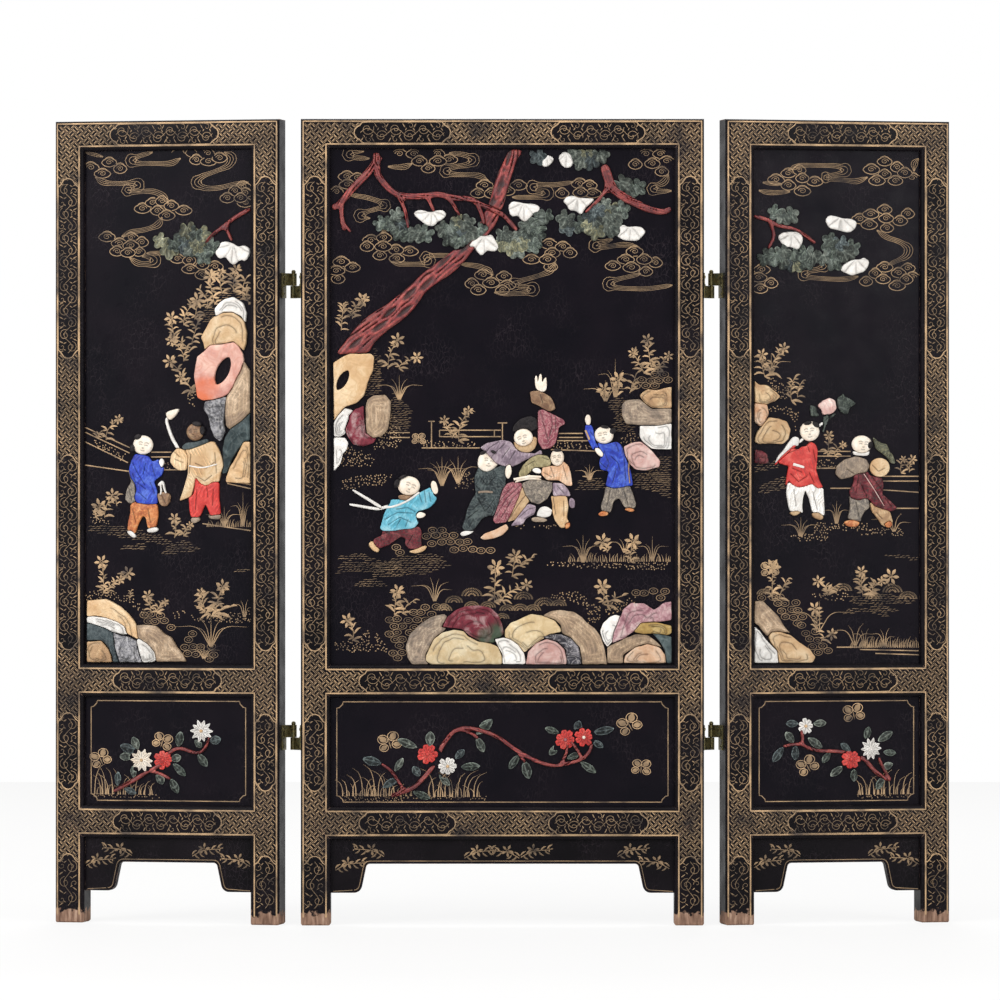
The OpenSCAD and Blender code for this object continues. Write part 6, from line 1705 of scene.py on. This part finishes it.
def blades(brush, low, high, z, length, way):
    """Long blades that mostly bow over to one side."""
    draw = random.Random(int(low))
    u = low
    while u < high:
        reach = length * draw.uniform(0.45, 1.0)
        lean = way * draw.uniform(0.25, 0.75) * (1 if draw.random() < 0.75 else -1)
        bow = ((0, 0), (0.05, 0.5), (0.3, 0.85), (0.8, 1))
        brush.stroke([(u + x * lean * reach, z + y * reach) for x, y in bow], 1.6, "tail",
                     tone=0.6 + draw.uniform(-0.25, 0.35))
        u += draw.uniform(2.5, 8.0)


def grass_row(brush, low, high, z, length):
    """Short grass along a bank."""
    draw = random.Random(1)
    u = low
    while u < high:
        reach = length * draw.uniform(0.6, 1.15)
        lean = draw.uniform(-0.5, 0.5)
        brush.stroke([(u, z), (u + lean * reach * 0.25, z + reach * 0.6), (u + lean * reach, z + reach)],
                     1.5, "tail", tone=0.5 + draw.uniform(-0.15, 0.15))
        u += draw.uniform(1.9, 3.4)


def in_region(region, across, up, seed, stray=0.2):
    """Spots at about even spacing inside an outline, and the draw they came from."""
    (left, z), (right, top) = np.min(region, 0), np.max(region, 0)
    draw = random.Random(seed)
    spots, row = [], 0
    while z < top:
        u = left + (row % 2) * across / 2
        while u < right:
            spots.append((u + draw.uniform(-stray, stray) * across, z + draw.uniform(-stray, stray) * up))
            u += across
        z += up
        row += 1
    spots = np.array(spots)
    return [tuple(s) for s in spots[inside(spots, region)]], draw


def pebbles(brush, region, seed):
    """A bank of pebbles, each a doubled ring."""
    size, tone = 5.6, 0.3
    spots, draw = in_region(region, size * 2.05, size * 1.45, seed)
    for u, z in spots:
        brush.ring(u, z, size, size * 0.68, 0.75, tone + draw.uniform(-0.2, 0.25))
        brush.ring(u, z, size * 0.45, size * 0.28, 0.6, tone, 9)


def dots(brush, region, seed, spacing=3.1, size=1.4, tone=0.6):
    """Dotted earth."""
    spots, draw = in_region(region, spacing, spacing, seed, 0.48)
    marks = []
    for spot in spots:
        if draw.random() < 0.8:
            way = heading(draw.uniform(0, math.pi)) * size * 0.45
            marks.append((spot - way, spot + way, size, tone + draw.uniform(-0.2, 0.2)))
    brush.dashes(marks)


def hatch(brush, region, seed):
    """Bare ground: short level strokes one above the other."""
    length = 7.0
    spots, draw = in_region(region, length * 0.75, 2.7, seed)
    for u, z in spots:
        reach = length * draw.uniform(0.5, 1.0)
        brush.stroke([(u - reach / 2, z - 0.5), (u, z + 0.5), (u + reach / 2, z)], 0.85, "leaf",
                     tone=draw.uniform(-0.15, 0.15))


def dome(brush, u, z, radius):
    """A far bush: short rays round a bright heart."""
    marks = []
    for ring, count in ((0.35, 7), (0.68, 13), (1.0, 19)):
        for k in range(count):
            way = heading(math.pi * (k + 0.5) / count) * (1, 0.8)
            spot, half = (u, z) + way * radius * ring, way * radius * 0.10
            marks.append((spot - half, spot + half, 1.0, 0.15 + 0.5 * (0.7 - ring)))
    brush.dashes(marks)


def butterfly(brush, u, z, size, turn):
    """A butterfly: four solid round wings, a body and long feelers."""
    size, tone = size * 1.3, 1.15
    spot = np.array([u, z])
    for a, reach in ((0.85, 1.0), (-0.35, 0.85), (math.pi - 0.85, 0.95), (math.pi + 0.35, 0.8)):
        way = heading(a + turn)
        middle = spot + way * size * (0.3 + 1.1 * reach)
        half = 0.95 * size * reach
        brush.stroke([middle - way * half * 0.8, middle + way * half * 0.8], 1.2 * half, "leaf",
                     tone=tone - 0.75, step=1.0)
        brush.ring(*middle, half, half * 0.84, 0.9, tone)
    up = np.array([-math.sin(turn), math.cos(turn)])
    brush.stroke([spot - up * size * 0.9, spot + up * size * 0.7], 1.6, "leaf", tone=0.2)
    for hand in (-0.4, 0.4):
        way = heading(turn + math.pi / 2 + hand)
        tip = spot + way * size * 2.3 + up * size * 0.2 - (0, size * 0.7)
        brush.stroke([spot + up * size * 0.6, spot + way * size * 1.5, tip], 0.9, "tail", tone=0.5)


print("points of a cloud's lobe:", len(LOBE))

# %% [markdown]
# ## What is painted where
# Each leaf's picture is written down as it would be pricked through a pattern paper: the name
# of a habit of the brush and the places, in millimetres from the leaf's middle and the floor.

# %% The picture on each leaf
PICTURE = {
    "centre": {
        cloud: tables("""20 918, 6 911; 96 920, 108 918, 74 908, 112 908, 97 909; 178 957, 196 957, 165 944,
            204 948, 186 945, 198 935; 58 845, 75 842, 84 834, 36 826, 62 834, 60 817, 56 826; -24 807, 2
            805, -38 796, 6 794, -30 788, 0 788, -14 797; 164 836, 137 818, 190 822, 153 826, 176 826, 178
            811, 160 816; -128 957, -110 957, -80 957, -66 950, -103 948, -92 939, -80 948; -22 918, -30
            908, -14 908; -193 929, -180 927, -206 910, -192 919; -163 850, -147 853, -168 842, -115 836,
            -132 838, -152 831, -148 842, -131 827; -200 823, -186 816, -204 802, -206 812"""),
        banner: tables("""12 903, 46 903, 57 906, 54 912, 40 912, 35 917, 44 919, 64 918, 88 922; 206 932,
            202 922, 190 917, 184 913, 192 910, 210 911; 66 822, 60 811, 40 804, 20 799, 12 795, 22 792, 37
            792, 39 787, 28 784, 5 783, -10 785; -52 820, -30 818, -16 812, -12 806; 168 842, 150 845, 128
            841, 113 841, 116 846, 128 848, 137 851; 172 808, 150 803, 133 799, 131 793, 146 790, 180 789,
            211 794; -165 951, -182 952, -193 955, -188 960, -172 960; -142 941, -122 940, -112 945; -66
            958, -46 956, -33 950, -42 943, -60 941, -74 936, -64 931, -30 931, -18 924; -190 906, -168 903,
            -150 897, -143 892, -158 888, -176 883, -178 878, -164 877; -150 858, -145 864, -138 870; -138
            823, -128 820, -95 820, -88 824, -99 829, -85 831, -60 831"""),
        sprig: table("""-200 738 34 3 9 5 0, -186 752 26 16 8 4 4, -176 766 10 2 5 1 7, -142 690 36 12 9 4
            7, -128 690 14 22 8 3 6, -54 600 38 12 9 5 5, -62 604 22 -10 9 3 5, -186 352 26 -6 9 3 7, -134
            384 30 4 10 4 7, -124 386 18 16 9 2 0, -10 400 44 2 11 4 8, 0 402 20 30 11 4 6, 12 432 26 4 10 3
            7, 22 445 12 18 9 2 0, 130 462 14 -6 8 2 8, 158 450 26 4 9 3 8, 124 398 22 0 9 3 8, 130 396 14
            24 11 2 0, 186 684 42 -6 10 5 6, 176 684 26 -14 10 3 5, 192 684 22 14 9 3 5, 142 655 22 2 9 2 8,
            128 655 10 -2 8 1 7, 158 660 24 8 9 3 0, 108 552 6 0 6 1 0"""),
        grass: table("""-128 652 30 7 1.3, -84 402 32 6 1.2, -75 545 36 9 1.1, -55 548 34 7 1.2, 108 552 20
            7 1.2, 140 655 48 5 .6, 128 650 26 5 1.4, 100 450 34 7 1.0, 186 452 30 5 .9, -4 400 16 4 1.3,
            152 462 22 4 1.4"""),
        grass_row: table("""82 208 451 10"""),
        pebbles: tables("""-140 322, -116 322, -122 345, -104 372, -75 390, -68 398, -96 400, -120 385, -146
            385, -142 360; -100 495, -80 495, -62 490, -40 475, -10 466, -40 458, -95 470; -138 462, -122
            462, -122 478, -138 472; 160 405, 208 405, 208 420, 160 418; 165 668, 208 668, 208 688, 190 690,
            170 680"""),
        dots: tables("""-208 338, -140 338, -150 358, -168 368, -180 352, -208 352; 60 404, 90 400, 130 385,
            165 392, 165 408, 118 396, 90 416, 60 412; 105 375, 120 372, 122 395, 104 400; 55 444, 208 440,
            208 450, 80 451, 55 450; -58 542, -34 540, -36 560, -52 566; 145 598, 168 596, 170 612, 146 610;
            15 492, 68 492, 68 497, 15 497; -160 590, -128 592, -122 612, -140 640, -158 600; -206 568, -158
            570, -160 584, -190 594, -206 580; -200 540, -145 546, -135 560, -175 558, -200 552; -100 592,
            -30 592, -35 600, -95 602; 60 591, 115 590, 108 600, 66 600"""),
        hatch: tables("""-205 452, -150 452, -175 462, -205 458; -205 436, -130 440, -125 450, -200 452;
            -160 430, -90 436, -65 446, -80 462, -130 458, -160 448; -190 418, -140 420, -160 432, -180 426;
            160 545, 208 530, 208 562, 160 562; 92 540, 128 540, 125 556, 95 552; -170 655, -150 660, -148
            700, -160 718, -170 690; -140 608, -118 612, -112 642, -135 660, -142 640; 135 610, 165 612, 150
            655, 128 650, 140 632; 178 560, 208 540, 208 584, 190 580"""),
        dome: table("""-60 400 10, -38 408 12, -38 394 9, -72 390 9, -18 394 9, 6 390 9, 26 404 11, 22 390
            10, 38 390 9, 52 396 12, 0 380 8, 70 396 9"""),
        butterfly: table("""-140 225 5.6 .3, 158 247 5.8 .5, 172 194 4.8 -.1, -104 602 3.4 .0"""),
    },
    "left": {
        cloud: tables("""-100 943, -76 949, -62 941, -85 935; 10 960, 32 960, 36 951, 52 949, 66 953, 51
            959; 96 917, 99 909, 86 912, 99 897, 76 903, 93 903; -33 891, -20 898, -8 900, 20 888, 4 894,
            -14 888, -2 882; -79 856, -48 855, -34 849, -63 848, -66 838, -38 837, -48 845, -52 836; 60 818,
            12 828, 27 826, 28 815, 44 808, 44 820"""),
        banner: tables("""-94 931, -84 923, -58 922, -42 924, -36 919, -46 916, -56 915, -48 911, -20 913,
            -6 907, 0 897; -20 961, -36 957, -50 952, -44 947, -20 947, 4 946, 16 953; 72 960, 83 954, 79
            943, 60 936, 42 930, 34 922, 46 915, 64 915, 84 920, 103 922; -8 880, -12 870, -30 864, -48 862,
            -60 856; -50 830, -40 822, -22 821, -15 826, -22 832, -34 831; -28 835, -10 835, 4 836; -108
            962, -95 960, -84 956"""),
        sprig: table("""60 770 36 -6 10 4 7, 70 784 26 -2 10 3 5, 84 786 28 3 10 4 6, 96 780 26 6 10 3 0, 50
            765 26 -12 9 3 0, 34 752 24 4 9 3 8, 104 770 22 -4 9 3 0, 20 745 30 16 9 4 5, 8 732 22 -4 9 3 7,
            30 722 34 10 9 4 0, 20 700 26 -16 9 3 6, 22 674 26 -20 9 3 7, 30 660 20 -14 9 3 6, 28 712 18 -22
            9 3 5, -80 602 26 16 8 3 5, -92 604 8 4 7 2 0, -95 505 14 6 8 2 8, -82 505 28 10 9 3 7, -66 520
            16 2 7 1 0, 8 480 24 0 9 3 6, 20 482 14 8 9 2 4, -84 410 40 -2 9 4 7, -78 412 16 16 9 3 5, -56
            430 6 4 8 1 7, -22 386 22 -4 9 3 6, -14 386 14 10 8 3 4, 60 384 36 10 11 4 7, 48 384 28 -6 11 4
            5, 56 382 14 -22 12 2 0, 64 384 12 22 12 2 0, -50 404 10 2 6 2 0"""),
        grass: table("""55 345 42 7 1.5, 46 330 18 5 1.5, 98 382 26 4 .8, 96 495 42 5 .5, 72 495 24 7 1.3"""),
        grass_row: table("""50 108 494 9"""),
        pebbles: tables("""-38 376, -8 374, 14 358, 22 330, 60 328, 64 345, 20 350, 12 366, -6 384, -30 390;
            24 352, 38 352, 38 362, 24 362"""),
        dots: tables("""-108 400, -78 404, -50 398, -30 380, -28 392, -48 408, -80 416, -108 412; 30 376,
            108 374, 108 392, 60 384, 30 384; 6 380, 22 380, 22 390, 6 388; -100 498, -76 496, -76 504, -100
            506; -96 596, -56 574, -54 584, -98 606; -20 566, 2 566, 2 574, -18 574; 24 650, 36 642, 36 670,
            26 668"""),
        hatch: tables("""46 748, 60 744, 60 770, 84 782, 106 772, 106 790, 70 792, 48 778; -104 488, -60
            480, -10 472, 10 470, -10 484, -60 496, -100 496; -62 464, -30 466, -28 474, -60 470; -10 458,
            10 460, 46 466, 20 478, 0 470; 86 438, 108 438, 108 442, 86 442"""),
        butterfly: table("""-87 203 5.2 .4, -8 225 5.0 -.3"""),
    },
    "right": {
        cloud: tables("""-78 926, -62 934, -48 938, -28 924, -62 919, -44 928, -44 912; 45 940, 62 950, 78
            943, 98 930, 88 936, 62 934, 52 926, 76 926; 30 878, 62 890, 92 885, 44 884, 82 876, 65 867, 42
            871, 64 879; 62 818, 92 817, 50 810, 98 806, 80 811, 38 800, 78 795, 60 803, 90 803; -96 814,
            -98 790, -84 797, -100 804"""),
        banner: tables("""-62 938, -48 944, -20 944, 0 944, 14 940, 8 934, -6 932, -18 929, -6 927, 10 926,
            26 924, 40 930; 100 938, 100 948, 106 954; -95 922, -70 920; -100 912, -85 909, -60 911; 52 864,
            64 855, 82 850, 94 842, 91 832, 78 826, 66 821; 28 806, 10 802, -20 803, -40 805, -45 809, -34
            813, -24 814, -13 819, -20 822"""),
        sprig: table("""-92 680 28 -4 9 4 6, -84 684 32 16 9 4 6, -58 650 30 4 9 4 0, -50 655 20 6 8 3 0,
            -12 582 26 2 8 3 5, -2 582 14 10 8 2 4, 84 560 18 2 7 2 4, 94 562 16 4 7 2 5, -82 402 42 0 9 4
            8, -74 404 26 12 9 3 0, -26 362 30 -2 9 4 7, -20 352 8 14 8 1 6, -12 408 18 -12 9 3 6, -10 410
            12 12 9 2 0, 34 408 30 -2 10 4 6, 46 410 16 12 9 3 5, 68 420 12 2 6 1 8, 40 410 18 22 10 2 0"""),
        grass: table("""-46 482 24 7 1.4, 0 498 28 7 .8, 74 488 26 4 1.5, -22 366 36 3 1.6, -84 684 26 5
            1.3, 24 346 32 4 1.3, 36 345 26 4 .8, 62 345 26 4 .9"""),
        grass_row: table("""18 106 343 13, 30 100 344 10"""),
        pebbles: tables("""-98 402, -80 398, -62 376, -40 366, -44 384, -46 400, -70 404, -84 420, -100 418;
            -52 362, -34 350, -24 330, -8 330, -10 350, -30 372, -50 372"""),
        dots: tables("""-60 478, -24 474, -8 480, -14 500, -26 502, -30 486, -58 484; -10 490, 40 488, 40
            500, -8 498; 32 484, 88 482, 88 492, 50 494, 34 494; -32 408, -10 402, 16 402, 14 412, -30 414;
            -90 662, -66 650, -60 668, -88 682; -98 640, -50 632, -58 642, -90 646; -28 567, 0 567, 0 580,
            -26 580; -62 640, -52 612, -48 640"""),
        hatch: tables("""-100 546, -60 560, -66 540, -100 534; -104 562, -72 568, -78 576, -104 572; 6 386,
            40 386, 84 388, 60 396, 16 392; 20 396, 60 396, 100 398, 104 408, 60 410, 14 408; 56 382, 68
            382, 66 390, 54 388; 62 458, 106 450, 106 456, 62 461"""),
        dome: table("""8 414 11, 72 412 12, 92 404 11, 48 404 10, -94 410 8"""),
        butterfly: table("""22 260 5.4 .2, -37 195 5.4 .5, -86 440 4.6 .1"""),
    },
}
# Fences, banks and ledges: straight double lines (u, z, u, z)
RULES = {
    "centre": table("""-78 614 -2 614, -78 606 -2 606, -78 606 -78 614, -10 606 -10 614, 0 596 0 623, -6 623
        6 623, -88 592 -88 625, -92 625 -84 625, -140 611 -115 611, -140 605 -115 605, 70 610 100 610, 70
        605 100 605, -100 592 -28 592, 60 590 118 588, 68 601 108 601"""),
    "left": table("""-107 618 -48 592, -107 612 -50 586, -107 600 -52 574, -107 571 -50 563, -22 587 4 587,
        -22 581 4 581, -22 565 20 565, 44 498 108 489, 76 548 108 541, 76 552 108 546"""),
    "right": table("""-26 588 18 588, -26 582 18 582, -26 567 0 567, 60 557 106 557, 60 551 106 551, 60 540
        106 537, -8 542 20 542, 70 517 106 517, 0 344 30 344, 30 341 106 339, 50 336 106 334"""),
}
# The lower panels: grass (from, to, foot, length, side) and dotted ground (u, z, u, z)
TUFTS = {
    "centre": table("-198 -130 160 42 -1, -92 -28 159 36 1, -190 -110 160 16 1, -90 -25 159 15 -1"),
    "left": table("-95 -60 160 46 -1, -58 -20 160 28 1, -92 -15 160 14 1"),
    "right": table("30 62 160 26 -1, 58 95 160 44 1, 28 96 160 14 1"),
}
DOTTED = {"centre": table("-200 162 -20 158, -205 157 -120 155"), "left": table("-98 160 -10 158"),
          "right": table("24 158 98 160")}
# Sprays on the aprons (u, z, hand), and the leaves of a spray (place along it, up or down)
APRON_SPRAYS = {
    "centre": table("-190 76 1, -164 93 -1, -30 91 1, 4 91 -1, 40 92 1, 160 93 1, 190 78 -1"),
    "left": table("-90 78 1, -64 92 -1, 48 92 1, 88 80 -1"),
    "right": table("-90 78 1, -64 92 -1, 58 92 1, 90 80 -1"),
}
SPRAY_LEAVES = table("-1.1 1, -.9 -1, -.65 1, -.5 -1, .3 -1, .45 1, .75 -1, .95 1")
for leaf, picture in PICTURE.items():
    print(leaf, "leaf:", ", ".join(f"{len(places)} {habit.__name__}" for habit, places in picture.items()))


# %% Painting the panels
def lower_border(brush, half, low, high, notch):
    """The border of a lower panel, with notched corners."""
    corner = [(half, low + notch), (half - notch * 0.4, low + notch * 0.9),
              (half - notch * 0.9, low + notch * 0.4), (half - notch, low)]
    side = corner + [(-u, z) for u, z in corner[::-1]]
    border = side + [(u, low + high - z) for u, z in side[::-1]]
    brush.stroke(border, 1.3, smooth=0, closed=True, step=6, tone=0.5)


def apron_spray(brush, u, z, hand):
    """A spray of flowers on the apron, pointing to one hand."""
    brush.stroke([(u + x * hand, z + y) for x, y in ((-17, -8), (-5, -1), (9, 1), (19, 1))], 1.0, tone=0.2)
    star(brush, u - 2 * hand, z + 1, 8.0, 5, 0.2 * hand, 0.1)
    star(brush, u + 19 * hand, z + 2, 4.0, 3, 0.2 * hand, 0.2)
    for t, way in SPRAY_LEAVES:
        root = np.array([u + 16 * t * hand, z - 1.5 + 4 * t])
        brush.stroke([root, root + (3 * hand, 4 * way), root + (7 * hand, 5.5 * way)], 2.2, "leaf",
                     tone=0.05 + 0.2 * way)


APRON_FOOT = 41
for leaf, picture in PICTURE.items():
    edge = WIDTH[leaf] / 2 - STILE_W
    (apron_top, _), (middle_rail, _), (top_rail, _) = RAILS
    brush = Brush(panel_surface, [(edge, sum(RAILS[1]), top_rail), (edge, sum(RAILS[0]), middle_rail),
                                  (edge, APRON_FOOT, apron_top)])
    for habit, places in picture.items():
        for number, place in enumerate(places, 1):
            if habit in (cloud, banner):
                habit(brush, place)
            elif habit in (pebbles, dots, hatch):
                habit(brush, place, number)
            else:
                habit(brush, *place)
    for a, b, c, d in RULES[leaf]:
        brush.stroke([(a, b), (c, d)], 1.5, smooth=0, tone=0.55)
    lower_border(brush, edge - 7.5, 152.5, 277.0, 8.0)
    for tuft in TUFTS[leaf]:
        blades(brush, *tuft)
    for a, b, c, d in DOTTED[leaf]:
        dots(brush, [(a, b - 3), (c, d - 3), (c, d + 2), (a, b + 2)], 4, 2.6, 1.2, 0.35)
    for ring, _ in outlines(leaf + "_apron", leaf)[0]:
        inwards = leftwards(np.roll(ring, -1, axis=0) - np.roll(ring, 1, axis=0))
        line = resample(ring + 3.4 * inwards, 2.0, True)
        brush.pieces(line, (line[:, 1] < apron_top - 6) & (np.abs(line[:, 0]) < edge - 1.5), 1.0, 0.2)
    for spray in APRON_SPRAYS[leaf]:
        apron_spray(brush, *spray)
    brush.finish(f"gold_on_{leaf}_panels", leaf)
